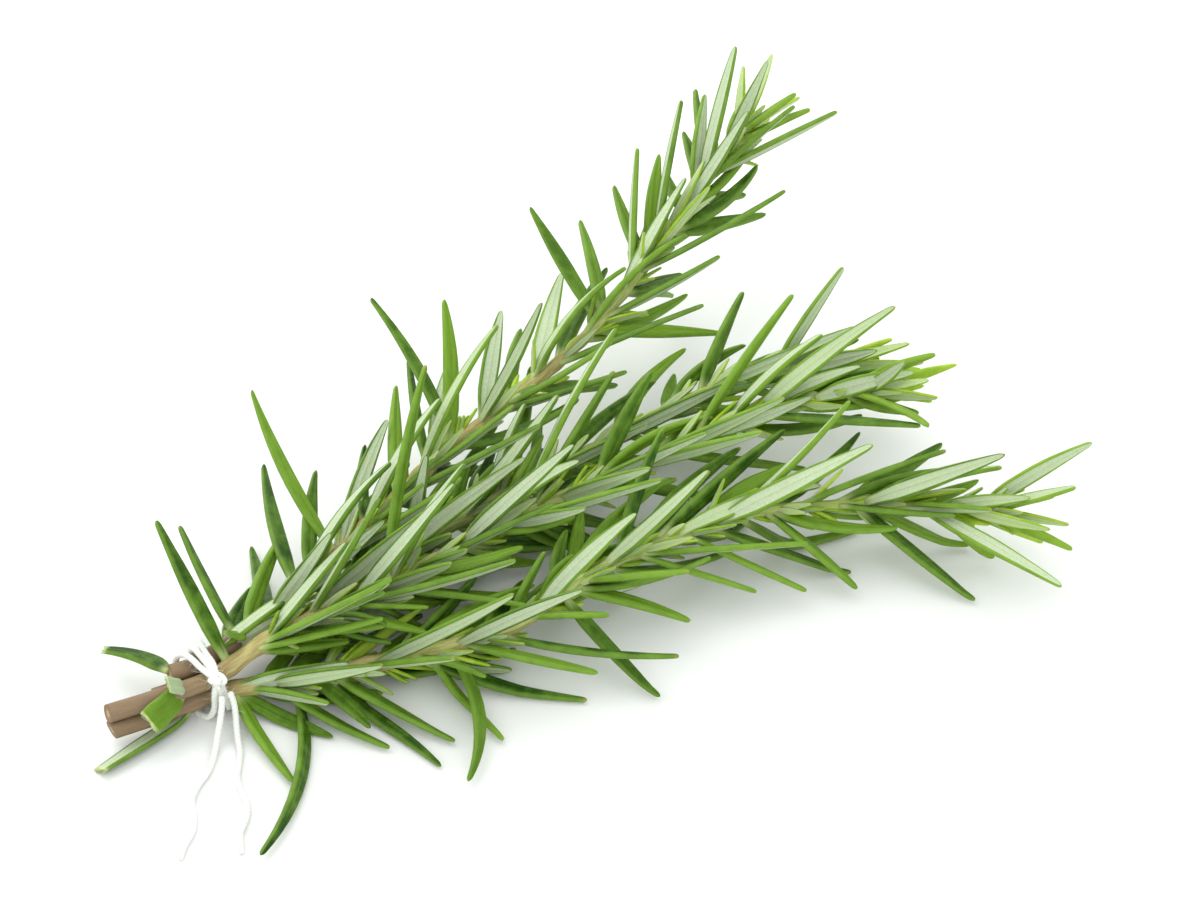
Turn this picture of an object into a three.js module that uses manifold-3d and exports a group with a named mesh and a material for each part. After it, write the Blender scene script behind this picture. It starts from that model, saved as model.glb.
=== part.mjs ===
// A small bunch of four cut rosemary sprigs, tied near their cut ends with white cotton thread and
// lying on a flat surface. Millimetres, +Z up, the surface at z = 0 and the origin on it under the tie.
// The bunch runs along +X. "Right" of a stem is the -Y side of one that runs along +X.
import * as THREE from 'three';
import { mergeVertices } from 'three/addons/utils/BufferGeometryUtils.js';
import Module from 'manifold-3d';

const wasm = await Module();
wasm.setup();

// Stems: round, tapering from the cut end to a soft tip.
const STEM_BASE_RADIUS = 1.5;
const STEM_TIP_RADIUS = 0.6;
const STEM_STEP = 8;
const STEM_SIDES = 6;

// Leaves: linear blades with a keel above and below. LEAF_LIFT is how far, in degrees, the blades at
// a stem's sides roll to turn their upper faces up, and LEAF_ROLL how far any blade may swing from it.
const LEAF_WIDTH = 2.65;
const LEAF_THICKNESS = 1.35;
const LEAF_LENGTH = 25;
const LEAF_STEPS = 12;
const LEAF_SHOULDER_STEP = 3;
const LEAF_TURN_PER_RING = 18;
const LEAF_ROOT_WIDTH = 0.45;
const LEAF_END_WIDTH = 0.38;
const LEAF_SWELL = 2;
const LEAF_LIFT = 60;
const LEAF_ROLL = 30;
const ROLL_SEED = 500;
const ROOT_DEPTH = 0.4;

// Leaf pairs stand crosswise to the pair before, closer together towards the tip of the stem.
const PAIR_GAP_BASE = 8;
const PAIR_GAP_TIP = 4.8;
const SPREAD_BASE = 50;
const SPREAD_TIP = 22;
const LEAF_CURL = 10;

// Leaves are longest halfway up a stem, and shorter over its last part.
const END_LENGTH = 0.84;
const LATE_START = 0.8;
const LATE_SHORTER = 0.4;

// How far, either way, a leaf of a pair may swing from the rule.
const SWING = { place: 0.8, azimuth: 20, turn: 10, length: 4.5, spread: 12, curl: 30, width: 0.4 };

// Young leaves grow a little ahead of some others, and their length, spread, width and thickness are
// shares of that leaf's own.
const YOUNG_SHARE = 0.1;
const YOUNG = {
  ahead: 2.2, azimuth: 30, length: 0.5, lengthSwing: 0.15, spread: 0.6, curl: 4, curlSwing: 12,
  width: 0.75, thickness: 0.8,
};

// The tuft of leaves at a stem's tip, each opening less than the one before.
const TIP_LENGTH = 5;
const TIP_LEAVES = 5;
const TUFT = {
  behind: 1.5, gap: 0.6, turn: 137, azimuth: 12, length: 14, lengthSwing: 3, spread: 8, opening: 4,
  curl: 12, size: 0.8,
};

// Room kept round every leaf, samples further apart than NEAR being clear anyway, and how softly a
// leaf comes down on the surface.
const CLEARANCE = 0.4;
const OWN_CLEARANCE = 0.05;
const NEAR = 5;
const STEM_SAMPLE = 1.5;
const LOOP_ROOM = 0.1;
const TAIL_ROOM = 0.05;
const TAIL_SAMPLES = 30;
const ROOT_ZONE = 5;
const SURFACE_GAP = 0.04;
const LANDING = 4;
const PLACE_TRIES = 60;
const TRY_TURN = 7;
const TRY_OPEN = 3;
const TRY_ANGLE = 2.4;
const TRY_SHORTER = 0.004;

// White thread: loops round the four stems that meet in a knot, and two loose ends.
const THREAD_RADIUS = 0.5;
const THREAD_SIDES = 8;
const LOOP_SIDES = 5;
const LOOP_STEPS = 20;
const LOOP_HALF_WIDTH = 4.55;
const LOOP_HALF_HEIGHT = 4.4;
const LOOP_CENTRE = [-0.5, 0, 4.6];
const LOOP_SQUARENESS = 3.6;
const LOOP_FANS = [-2.6, 0.5, 2.6];
const KNOT_ANGLE = 140;
const KNOT_CENTRE = [-0.5, -4.4, 8.2];
const KNOT_SIZE = [1.5, 1.2, 1.3];
const TAIL_STEP = 2.4;

const COLOURS = {
  leaf: 0x4f7a2c,
  leaf_inner: 0x4a7430,
  thread: 0xf2f1ec,
};

// One row a sprig. route: the stem's axis from its cut end to its tip. first: where its leaf pairs
// start. turn: how far the first pair is turned round the stem. leaves: single leaves of their own,
// each [place along the stem, degrees round it from the top to the right, length, degrees of spread
// from the stem, degrees of curl towards the tip, width, 1 if its end is cut off square].
const SPRIGS = [
  {
    name: 'sprig_front',
    seed: 7,
    first: 26,
    turn: 35,
    colour: COLOURS.leaf,
    route: [
      [-16.5, 0.6, 2.8], [-9, -0.8, 2.9], [0, -1.9, 3], [7, -5, 3.6], [16, -9.3, 4.4],
      [25, -13.3, 5.2], [36, -17.3, 6], [45, -19.3, 7], [54, -19.5, 9.5], [64, -19.6, 10.5],
      [78, -21.2, 10.5], [88, -23, 10.2], [101, -29.5, 9.8], [110.5, -36, 9.2], [119, -43, 9],
    ],
    leaves: [
      [13, 160, 18, 145, 0, 3.3, 1], [20, 95, 20, 78, 5, 2.9], [20, 120, 17, 40, 0, 2.6],
      [22, 80, 14, 25, -10, 2.6], [20, 30, 18, 15, 10, 2.9], [26, 110, 21, 45, 5, 2.9],
      [29, 130, 35, 85, -50, 2.9],
      [32, 100, 13, 50, -10, 2.3], [35, 110, 22, 42, 0, 3.4], [40, 50, 19, 45, 0, 2.8],
      [48, 70, 15, 40, -25, 2.8], [50, 125, 19, 65, -10, 2.5], [53, 100, 25, 65, -60, 2.6],
      [56, 80, 23, 45, 0, 3.4], [67, 80, 13, 40, -10, 2.8], [73, 115, 22, 88, 5, 2.6],
      [75, 120, 19, 40, -15, 2.9], [77, 70, 18, 48, -5, 2.8], [84, -45, 22, 50, 10, 2.5],
      [87, 120, 20, 40, 0, 3], [91, -60, 30, 22, 5, 3], [96, 120, 21, 45, 0, 2.8],
      [101, 30, 28, 30, 0, 3.4], [110, 120, 19, 45, -10, 3.2], [124, -80, 20, 35, 0, 2.9],
      [126, 20, 26, 40, 0, 3], [125, 120, 24, 42, 0, 3], [135, 85, 28, 38, -5, 3],
      [145, 90, 16, 22, -10, 2.3], [144.5, -50, 21, 40, 10, 2.8], [145.5, 0, 15, 24, 0, 2.3],
    ],
  },
  {
    name: 'sprig_inner',
    seed: 23,
    first: 30,
    turn: 10,
    colour: COLOURS.leaf_inner,
    route: [
      [-8, 2.7, 3], [0, 1.9, 3], [18, 3.4, 4], [37, 4.6, 6], [56, 5.4, 7.8], [75, 5.4, 9],
      [88, 5.8, 9.6], [98, 5.4, 10], [107, 3, 10.6], [113, 0, 11.2], [120, -4.5, 12],
    ],
    leaves: [
      [99, -100, 10, 45, 0, 2.3], [106, -60, 20, 45, 5, 2.6], [119, -45, 21, 50, 5, 2.6],
      [122, 40, 17, 40, 5, 2.9],
    ],
  },
  {
    name: 'sprig_middle',
    seed: 41,
    first: 27,
    turn: 60,
    colour: COLOURS.leaf,
    route: [
      [-16.5, 1.2, 5.9], [-9, -0.5, 6.2], [0, -1.9, 6.5], [8, -1.6, 8.2], [15, -2.6, 9.6], [22, -3.4, 10],
      [33, -3.7, 10.6], [45, -3.7, 11.4], [57, -3.9, 12], [71, -5.1, 13], [81, -6, 14],
      [91.5, -7.7, 15], [102, -10.3, 16], [111, -14.2, 17], [117, -18.3, 18],
    ],
    leaves: [
      [11.5, 90, 7.5, 150, 0, 4.2, 1], [12.2, 20, 4.5, 130, 0, 2.8, 1],
      [20, -50, 24.5, 80, 0, 3.2], [27, 0, 20, 35, 5, 2.8], [25, 110, 14, 25, -5, 2.6],
      [30, 80, 16, 30, -5, 2.6],
      [25, 70, 21, 35, 0, 3.2], [37, 70, 12, 35, -50, 2.9], [42, 10, 25, 45, 0, 3],
      [46, 50, 13, 40, 0, 3], [48, -45, 35, 58, 10, 2.5], [47, 90, 23, 40, -10, 2.8],
      [52, 70, 18, 40, 20, 2.8], [59, 175, 13, 50, 20, 2.6], [61, 20, 25, 45, 10, 2.8],
      [73, -40, 34, 45, 15, 2.8], [87, -50, 20, 40, 5, 3.1], [92, 60, 23, 35, 0, 3.1],
      [105, -50, 29, 35, 5, 2.8], [115, 0, 29, 35, 15, 3], [116, 90, 28, 40, -5, 2.3],
      [132, 70, 21, 45, -25, 2.8], [134, 20, 11, 45, -10, 2.5],
    ],
  },
  {
    name: 'sprig_back',
    seed: 59,
    first: 19,
    turn: 80,
    colour: COLOURS.leaf,
    route: [
      [-5, 2.5, 6.6], [0, 1.9, 6.6], [12, 3, 7.8], [32, 8.4, 10], [52, 15, 12], [66, 18.2, 13],
      [80, 21.6, 14], [91, 24.7, 16], [103, 30, 18], [117, 36, 21], [130, 41.6, 24],
      [136, 45, 25.5],
    ],
    leaves: [
      [7.5, 10, 17, 15, 8, 3.1], [13, 30, 8, 140, 20, 2.9], [9, 45, 15, 12, 8, 2.8],
      [18, 40, 18, 25, 8, 2.8], [24, 40, 18, 25, 8, 2.6],
      [0.2, -100, 13, 100, -40, 3, 1], [12, -70, 21, 80, 5, 2.8],
      [10, -110, 16, 50, 10, 2.8], [14, -90, 20, 40, 10, 3], [25, -90, 28, 60, 10, 2.8],
      [28, -75, 20, 45, 10, 2.6], [34, -70, 32, 75, 15, 2.3], [35, -80, 27, 30, 10, 3],
      [41, -90, 18, 45, 10, 2.3], [57, -80, 22, 50, 5, 2.6], [59, -95, 24, 40, 10, 3.1],
      [63, -70, 30, 60, -20, 2.2], [70, -70, 22, 40, 5, 3.2], [76, -100, 20, 40, 5, 2.8],
      [73, 70, 22, 40, 0, 2.8], [83, -90, 26, 35, 5, 3.4], [97, -110, 12, 35, 5, 2.3],
      [97, 130, 24, 40, -5, 2.6], [99, -70, 24, 65, 0, 2.5], [110, -50, 24, 35, 5, 2.8],
      [114, -85, 18, 50, 5, 2.5], [116, -65, 20, 30, 5, 2.8], [107, 160, 16, 30, 0, 2.8],
      [122, 130, 20, 35, 0, 2.9], [127, -95, 10, 50, 5, 2.3], [131, -60, 20, 30, 5, 3.3],
      [131, 150, 12, 40, 0, 2.5], [133, -15, 25, 38, 5, 3.2], [136, -85, 20, 40, 5, 2.4],
      [137, 80, 24, 34, 0, 2.9], [147, 70, 12, 30, -10, 2.4],
    ],
  },
];

// Loose ends of the thread, from the knot down to the surface and along it.
const TAILS = {
  thread_end_left: [
    [-0.9, -6.1, 6.6], [-1.4, -6.7, 4.9], [-2.2, -7.4, 3.3], [-3.3, -8.4, 1.9],
    [-4.6, -9.8, 0.9], [-6.2, -11.6, 0.55], [-8.2, -13.4, 0.55], [-10.6, -14.8, 0.55],
    [-12.8, -16.8, 0.55], [-14, -19.6, 0.55], [-15.8, -22.2, 0.55], [-18.4, -24.2, 0.55],
    [-20, -25.8, 0.55],
  ],
  thread_end_right: [
    [0.5, -6.2, 6.7], [0.6, -6.9, 5], [0.3, -7.7, 3.4], [-0.3, -8.8, 2],
    [-1, -10.3, 0.95], [-1.9, -12.4, 0.55], [-3.4, -14.6, 0.55], [-5, -16.8, 0.55],
    [-5.8, -19.4, 0.55], [-6.4, -22, 0.55], [-8, -24.6, 0.55], [-10.2, -26.6, 0.55],
    [-12, -30, 0.55],
  ],
};

const UP = new THREE.Vector3(0, 0, 1);
const radians = THREE.MathUtils.degToRad;
const toVector = ([x, y, z]) => new THREE.Vector3(x, y, z);

// Park and Miller's generator: the same draws for the same seed.
function seeded(seed) {
  let state = seed;
  return () => {
    state = (state * 48271) % 2147483647;
    return state / 2147483647;
  };
}

function stemRadius(share) {
  return THREE.MathUtils.lerp(STEM_BASE_RADIUS, STEM_TIP_RADIUS, share);
}

// Point, direction, right and top of a stem at a place along it.
function stemFrame(stem, place) {
  const share = place / stem.length;
  const point = stem.curve.getPointAt(share);
  const along = stem.curve.getTangentAt(share);
  const right = new THREE.Vector3().crossVectors(along, UP).normalize();
  const top = new THREE.Vector3().crossVectors(right, along);
  return { point, along, right, top };
}

// Width of a leaf as a share of its full width: narrow at its root, even, then a blunt tip.
function leafProfile(share) {
  const opening = LEAF_ROOT_WIDTH + share * LEAF_SWELL;
  const closing = LEAF_END_WIDTH + (1 - share) * LEAF_SWELL;
  return Math.min(1, opening, closing);
}

// The leaf's middle line as samples, curling evenly, its blade rolled about it, and coming to rest on
// the surface if it gets there.
function leafLine(stem, leaf) {
  const frame = stemFrame(stem, leaf.place);
  const azimuth = radians(leaf.azimuth);
  const outward = frame.top.clone().multiplyScalar(Math.cos(azimuth));
  outward.addScaledVector(frame.right, Math.sin(azimuth));
  const spread = radians(leaf.spread);
  const along = frame.along.clone().multiplyScalar(Math.cos(spread));
  along.addScaledVector(outward, Math.sin(spread));
  const face = frame.along.clone().multiplyScalar(Math.sin(spread));
  face.addScaledVector(outward, -Math.cos(spread));
  const point = frame.point.clone();
  point.addScaledVector(outward, ROOT_DEPTH * stemRadius(leaf.place / stem.length));
  const step = leaf.length / LEAF_STEPS;
  const curl = radians(leaf.curl) / LEAF_STEPS;
  const roll = radians(leaf.roll);
  const samples = [];
  for (let i = 0; i <= LEAF_STEPS; i += 1) {
    const halfWidth = 0.5 * leaf.width * leafProfile(i / LEAF_STEPS);
    const halfThickness = 0.5 * leaf.thickness;
    const across = new THREE.Vector3().crossVectors(along, face);
    const upper = face.clone().multiplyScalar(Math.cos(roll)).addScaledVector(across, Math.sin(roll));
    const side = new THREE.Vector3().crossVectors(along, upper);
    const reach = Math.hypot(halfWidth * side.z, halfThickness * upper.z);
    const floor = reach + SURFACE_GAP;
    point.z = Math.max(point.z, floor);
    samples.push({
      point: point.clone(),
      along: along.clone(),
      face: upper,
      side,
      halfWidth,
      halfThickness,
      halfStep: 0.5 * step,
      depth: i * step,
    });
    const turned = along.clone().multiplyScalar(Math.cos(curl)).addScaledVector(face, Math.sin(curl));
    along.copy(turned);
    const lowest = -(point.z - floor) / LANDING;
    if (along.z < lowest) {
      along.z = lowest;
      along.normalize();
    }
    face.addScaledVector(along, -face.dot(along)).normalize();
    point.addScaledVector(along, step);
  }
  return samples;
}

// Half the extent of a sample along a direction.
function extent(sample, direction) {
  const w = sample.halfWidth * sample.side.dot(direction);
  const t = sample.halfThickness * sample.face.dot(direction);
  const l = sample.halfStep * sample.along.dot(direction);
  return Math.sqrt(w * w + t * t + l * l);
}

// True where the leaf's line keeps its room to everything placed before it.
function isClear(line, owner, placed, minding) {
  const direction = new THREE.Vector3();
  for (const sample of line) {
    for (const other of placed) {
      direction.subVectors(other.point, sample.point);
      const distance = direction.length();
      if (distance > NEAR) continue;
      const own = other.owner === owner;
      if (own && (!minding || sample.depth < ROOT_ZONE || other.depth < ROOT_ZONE)) continue;
      if (distance < 0.01) return false;
      direction.divideScalar(distance);
      const room = own ? OWN_CLEARANCE : CLEARANCE;
      if (distance < extent(sample, direction) + extent(other, direction) + room) return false;
    }
  }
  return true;
}

// Turns and opens a leaf by ever more, round a spiral, until it is clear; null where it never is.
function placeLeaf(stem, leaf, placed, minding) {
  for (let attempt = 0; attempt < PLACE_TRIES; attempt += 1) {
    const reach = Math.sqrt(attempt);
    const moved = {
      ...leaf,
      azimuth: leaf.azimuth + TRY_TURN * reach * Math.cos(attempt * TRY_ANGLE),
      spread: leaf.spread + TRY_OPEN * reach * Math.sin(attempt * TRY_ANGLE),
      length: leaf.length * (1 - TRY_SHORTER * attempt),
    };
    const line = leafLine(stem, moved);
    if (isClear(line, stem.name, placed, minding)) return line;
  }
  return null;
}

function keep(line, owner, placed) {
  for (const sample of line) placed.push({ ...sample, owner });
}

// Round samples of something that leaves keep clear of.
function roundSamples(points, radius, owner) {
  return points.map((point) => ({
    point,
    along: new THREE.Vector3(1, 0, 0),
    face: new THREE.Vector3(0, 0, 1),
    side: new THREE.Vector3(0, -1, 0),
    halfWidth: radius,
    halfThickness: radius,
    halfStep: radius,
    depth: ROOT_ZONE,
    owner,
  }));
}

// How far a blade rolls about its line: those at a stem's sides turn their upper faces up.
function leafRoll(azimuth, random) {
  return LEAF_LIFT * Math.sin(radians(azimuth)) + LEAF_ROLL * (2 * random() - 1);
}

function namedLeaves(sprig) {
  const random = seeded(sprig.seed + ROLL_SEED);
  return sprig.leaves.map(([place, azimuth, length, spread, curl, width, cut]) => ({
    place,
    azimuth,
    length,
    spread,
    curl,
    roll: leafRoll(azimuth, random),
    cut: cut === 1,
    corners: 4,
    width,
    thickness: LEAF_THICKNESS,
  }));
}

// Leaf pairs with a young leaf in some of their axils, and a tuft at the tip.
function grownLeaves(sprig, length) {
  const random = seeded(sprig.seed);
  const swing = (middle, by) => middle + by * (2 * random() - 1);
  const grown = [];
  let place = sprig.first;
  let turn = sprig.turn;
  while (place < length - TIP_LENGTH) {
    const share = place / length;
    const late = Math.max(0, (share - LATE_START) / (1 - LATE_START));
    const middle = END_LENGTH + (1 - END_LENGTH) * Math.sin(Math.PI * share);
    for (const half of [0, 180]) {
      const root = swing(place, SWING.place);
      const azimuth = swing(turn + half, SWING.azimuth);
      const leaf = {
        place: root,
        azimuth,
        length: swing(LEAF_LENGTH * middle, SWING.length) * (1 - LATE_SHORTER * late),
        spread: swing(THREE.MathUtils.lerp(SPREAD_BASE, SPREAD_TIP, share), SWING.spread),
        curl: swing(LEAF_CURL, SWING.curl),
        roll: leafRoll(azimuth, random),
        cut: false,
        corners: 4,
        width: swing(LEAF_WIDTH, SWING.width),
        thickness: LEAF_THICKNESS,
      };
      grown.push(leaf);
      const young = random() < YOUNG_SHARE;
      const youngLeaf = {
        ...leaf,
        place: leaf.place + YOUNG.ahead,
        azimuth: swing(leaf.azimuth, YOUNG.azimuth),
        length: leaf.length * swing(YOUNG.length, YOUNG.lengthSwing),
        spread: leaf.spread * YOUNG.spread,
        curl: swing(YOUNG.curl, YOUNG.curlSwing),
        corners: 3,
        width: leaf.width * YOUNG.width,
        thickness: LEAF_THICKNESS * YOUNG.thickness,
      };
      if (young) grown.push(youngLeaf);
    }
    place += THREE.MathUtils.lerp(PAIR_GAP_BASE, PAIR_GAP_TIP, share);
    turn = swing(turn + 90, SWING.turn);
  }
  for (let i = 0; i < TIP_LEAVES; i += 1) {
    grown.push({
      place: length - TUFT.behind - TUFT.gap * (TIP_LEAVES - i),
      azimuth: swing(turn + TUFT.turn * i, TUFT.azimuth),
      length: swing(TUFT.length, TUFT.lengthSwing),
      spread: TUFT.spread + TUFT.opening * (TIP_LEAVES - i),
      curl: swing(0, TUFT.curl),
      roll: 0,
      cut: false,
      corners: 4,
      width: LEAF_WIDTH * TUFT.size,
      thickness: LEAF_THICKNESS * TUFT.size,
    });
  }
  return grown;
}

// A closed solid through rings of corners, which run anticlockwise about the way ahead.
function ringSolid(rings, { tip = null, closed = false } = {}) {
  const sides = rings[0].length;
  const positions = rings.flat().flatMap((corner) => corner.toArray());
  const triangles = [];
  const spans = closed ? rings.length : rings.length - 1;
  for (let i = 0; i < spans; i += 1) {
    const from = i * sides;
    const to = ((i + 1) % rings.length) * sides;
    for (let j = 0; j < sides; j += 1) {
      const k = (j + 1) % sides;
      triangles.push(from + j, from + k, to + k, from + j, to + k, to + j);
    }
  }
  const last = (rings.length - 1) * sides;
  if (!closed) {
    for (let j = 2; j < sides; j += 1) triangles.push(0, j, j - 1);
  }
  if (tip) {
    positions.push(...tip.toArray());
    const top = rings.length * sides;
    for (let j = 0; j < sides; j += 1) triangles.push(last + j, last + ((j + 1) % sides), top);
  } else if (!closed) {
    for (let j = 2; j < sides; j += 1) triangles.push(last, last + j - 1, last + j);
  }
  const geometry = new THREE.BufferGeometry();
  geometry.setAttribute('position', new THREE.Float32BufferAttribute(positions, 3));
  geometry.setIndex(triangles);
  return geometry;
}

function ringAt(point, first, second, firstRadius, secondRadius, sides) {
  const corners = [];
  for (let j = 0; j < sides; j += 1) {
    const angle = (2 * Math.PI * j) / sides;
    const corner = point.clone().addScaledVector(first, firstRadius * Math.cos(angle));
    corners.push(corner.addScaledVector(second, secondRadius * Math.sin(angle)));
  }
  return corners;
}

// Blade with a ring at its root, at its shoulder, wherever its line has turned enough, and near its
// end, which is pointed or cut off square. Young leaves have three corners, and the others four.
function leafGeometry(line, { cut, corners }) {
  const rings = [];
  const lastRing = cut ? LEAF_STEPS : LEAF_STEPS - 1;
  let before = line[0].along;
  for (let i = 0; i <= lastRing; i += 1) {
    const { point, along, face, side, halfThickness, halfWidth } = line[i];
    const turned = THREE.MathUtils.radToDeg(before.angleTo(along));
    if (i === 0 || i === LEAF_SHOULDER_STEP || i === lastRing || turned > LEAF_TURN_PER_RING) {
      rings.push(ringAt(point, face, side, halfThickness, halfWidth, corners));
      before = along;
    }
  }
  return ringSolid(rings, { tip: cut ? null : line[LEAF_STEPS].point });
}

function stemGeometry(stem) {
  const steps = Math.round(stem.length / STEM_STEP);
  const rings = [];
  for (let i = 0; i < steps; i += 1) {
    const share = i / steps;
    const { point, right, top } = stemFrame(stem, share * stem.length);
    const radius = stemRadius(share);
    rings.push(ringAt(point, top, right, radius, radius, STEM_SIDES));
  }
  return ringSolid(rings, { tip: stem.curve.getPointAt(1) });
}

function closedGeometry(geometry) {
  geometry.deleteAttribute('normal');
  geometry.deleteAttribute('uv');
  return mergeVertices(geometry);
}

function toSolid(geometry) {
  const merged = closedGeometry(geometry);
  return new wasm.Manifold(new wasm.Mesh({
    numProp: 3,
    vertProperties: new Float32Array(merged.attributes.position.array),
    triVerts: new Uint32Array(merged.index.array),
  }));
}

// Fuses solids and keeps the largest piece, without loose scraps or sealed hollows.
function fuse(solids) {
  const whole = solids.reduce((sum, solid) => sum.add(solid));
  return whole.decompose().reduce((most, piece) => (piece.volume() > most.volume() ? piece : most));
}

function toGeometry(solid) {
  const { vertProperties, triVerts } = solid.getMesh();
  const geometry = new THREE.BufferGeometry();
  geometry.setAttribute('position', new THREE.BufferAttribute(vertProperties, 3));
  geometry.setIndex(new THREE.BufferAttribute(triVerts, 1));
  return geometry;
}

function addMesh(group, name, geometry, colour, roughness) {
  const material = new THREE.MeshStandardMaterial({ color: colour, roughness, metalness: 0 });
  const mesh = new THREE.Mesh(geometry, material);
  mesh.name = name;
  group.add(mesh);
}

// A loop of thread round the stems, which leans away from the knot by its fan.
function loopPoint(angle, fan) {
  const bend = 2 / LOOP_SQUARENESS;
  const c = Math.cos(angle);
  const s = Math.sin(angle);
  const away = Math.abs(Math.sin(0.5 * (angle - radians(KNOT_ANGLE))));
  return new THREE.Vector3(
    LOOP_CENTRE[0] + fan * away,
    LOOP_CENTRE[1] + LOOP_HALF_WIDTH * Math.sign(c) * Math.abs(c) ** bend,
    LOOP_CENTRE[2] + LOOP_HALF_HEIGHT * Math.sign(s) * Math.abs(s) ** bend,
  );
}

function loopLine(fan) {
  const points = [];
  for (let i = 0; i < LOOP_STEPS; i += 1) points.push(loopPoint((2 * Math.PI * i) / LOOP_STEPS, fan));
  return points;
}

function loopGeometry(fan) {
  const points = loopLine(fan);
  const rings = points.map((point, i) => {
    const next = points[(i + 1) % LOOP_STEPS];
    const before = points[(i + LOOP_STEPS - 1) % LOOP_STEPS];
    const along = new THREE.Vector3().subVectors(next, before).normalize();
    const across = new THREE.Vector3(1, 0, 0).addScaledVector(along, -along.x).normalize();
    const out = new THREE.Vector3().crossVectors(along, across);
    return ringAt(point, across, out, THREAD_RADIUS, THREAD_RADIUS, LOOP_SIDES);
  });
  return ringSolid(rings, { closed: true });
}

function knotGeometry() {
  const knot = new THREE.IcosahedronGeometry(1, 1);
  knot.scale(...KNOT_SIZE);
  knot.translate(...KNOT_CENTRE);
  return knot;
}

// Loops and knot in one, trimmed where they press flat on the surface.
function tieSolid() {
  const tie = fuse([...LOOP_FANS.map((fan) => toSolid(loopGeometry(fan))), toSolid(knotGeometry())]);
  const under = new THREE.BoxGeometry(40, 40, 10);
  under.translate(0, 0, -5);
  return tie.subtract(toSolid(under));
}

function tailGeometry(points) {
  const path = new THREE.CatmullRomCurve3(points.map(toVector));
  const section = new THREE.Shape(
    ringAt(new THREE.Vector3(), new THREE.Vector3(1, 0, 0), new THREE.Vector3(0, 1, 0),
      THREAD_RADIUS, THREAD_RADIUS, THREAD_SIDES).map((corner) => new THREE.Vector2(corner.x, corner.y)),
  );
  const steps = Math.round(path.getLength() / TAIL_STEP);
  return new THREE.ExtrudeGeometry(section, { steps, extrudePath: path });
}

const stems = SPRIGS.map((sprig) => {
  const curve = new THREE.CatmullRomCurve3(sprig.route.map(toVector), false, 'catmullrom', 0.5);
  return { name: sprig.name, curve, length: curve.getLength() };
});

// Stems and thread first, then the single leaves of every sprig, then the leaf pairs.
const placed = [];
stems.forEach((stem) => {
  const count = Math.round(stem.length / STEM_SAMPLE);
  for (let i = 0; i <= count; i += 1) {
    const share = i / count;
    placed.push(...roundSamples([stem.curve.getPointAt(share)], stemRadius(share), stem.name));
  }
});
LOOP_FANS.forEach((fan) => {
  placed.push(...roundSamples(loopLine(fan), THREAD_RADIUS + LOOP_ROOM, 'thread'));
});
placed.push(...roundSamples([toVector(KNOT_CENTRE)], KNOT_SIZE[2], 'thread'));
Object.values(TAILS).forEach((points) => {
  const path = new THREE.CatmullRomCurve3(points.map(toVector));
  placed.push(...roundSamples(path.getSpacedPoints(TAIL_SAMPLES), THREAD_RADIUS + TAIL_ROOM, 'thread'));
});

const leafLines = new Map(SPRIGS.map((sprig) => [sprig.name, []]));
function growLeaves(sprig, stem, leaves, minding) {
  for (const leaf of leaves) {
    const line = placeLeaf(stem, leaf, placed, minding);
    if (!line) continue;
    keep(line, stem.name, placed);
    leafLines.get(sprig.name).push(leafGeometry(line, leaf));
  }
}
SPRIGS.forEach((sprig, i) => growLeaves(sprig, stems[i], namedLeaves(sprig), false));
SPRIGS.forEach((sprig, i) => growLeaves(sprig, stems[i], grownLeaves(sprig, stems[i].length), true));

const bunch = new THREE.Group();
SPRIGS.forEach((sprig, i) => {
  const solids = [stemGeometry(stems[i]), ...leafLines.get(sprig.name)].map(toSolid);
  addMesh(bunch, sprig.name, toGeometry(fuse(solids)), sprig.colour, 0.55);
});
addMesh(bunch, 'thread_tie', toGeometry(tieSolid()), COLOURS.thread, 0.9);
Object.entries(TAILS).forEach(([name, points]) => {
  addMesh(bunch, name, closedGeometry(tailGeometry(points)), COLOURS.thread, 0.9);
});

export default bunch;
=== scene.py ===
"""A small bunch of rosemary sprigs tied with white cotton thread, lying on a pale floor."""

import math
import random
from math import cos, pi, radians, sin, sqrt

import bpy
import numpy as np
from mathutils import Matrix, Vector


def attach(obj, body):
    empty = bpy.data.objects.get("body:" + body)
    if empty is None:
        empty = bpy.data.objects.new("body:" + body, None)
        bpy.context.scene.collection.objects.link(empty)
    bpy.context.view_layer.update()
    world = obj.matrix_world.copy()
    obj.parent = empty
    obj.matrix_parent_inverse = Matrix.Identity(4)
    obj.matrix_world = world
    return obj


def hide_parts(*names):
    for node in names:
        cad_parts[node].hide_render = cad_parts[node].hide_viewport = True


MM = 0.001

# Stems, leaves and thread as in the frame: millimetres, the same names and values.
STEM_BASE_RADIUS = 1.5
STEM_TIP_RADIUS = 0.6
LEAF_WIDTH = 2.65
LEAF_THICKNESS = 1.35
LEAF_LENGTH = 25
LEAF_STEPS = 12
LEAF_ROOT_WIDTH = 0.45
LEAF_END_WIDTH = 0.38
LEAF_SWELL = 2
LEAF_LIFT = 60
LEAF_ROLL = 30
ROLL_SEED = 500
ROOT_DEPTH = 0.4
PAIR_GAP_BASE = 8
PAIR_GAP_TIP = 4.8
SPREAD_BASE = 50
SPREAD_TIP = 22
LEAF_CURL = 10
END_LENGTH = 0.84
LATE_START = 0.8
LATE_SHORTER = 0.4
SWING = {
    "place": 0.8, "azimuth": 20, "turn": 10, "length": 4.5, "spread": 12, "curl": 30, "width": 0.4,
}
YOUNG_SHARE = 0.1
YOUNG = {
    "ahead": 2.2, "azimuth": 30, "length": 0.5, "length_swing": 0.15, "spread": 0.6, "curl": 4,
    "curl_swing": 12, "width": 0.75, "thickness": 0.8,
}
TIP_LENGTH = 5
TIP_LEAVES = 5
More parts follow.
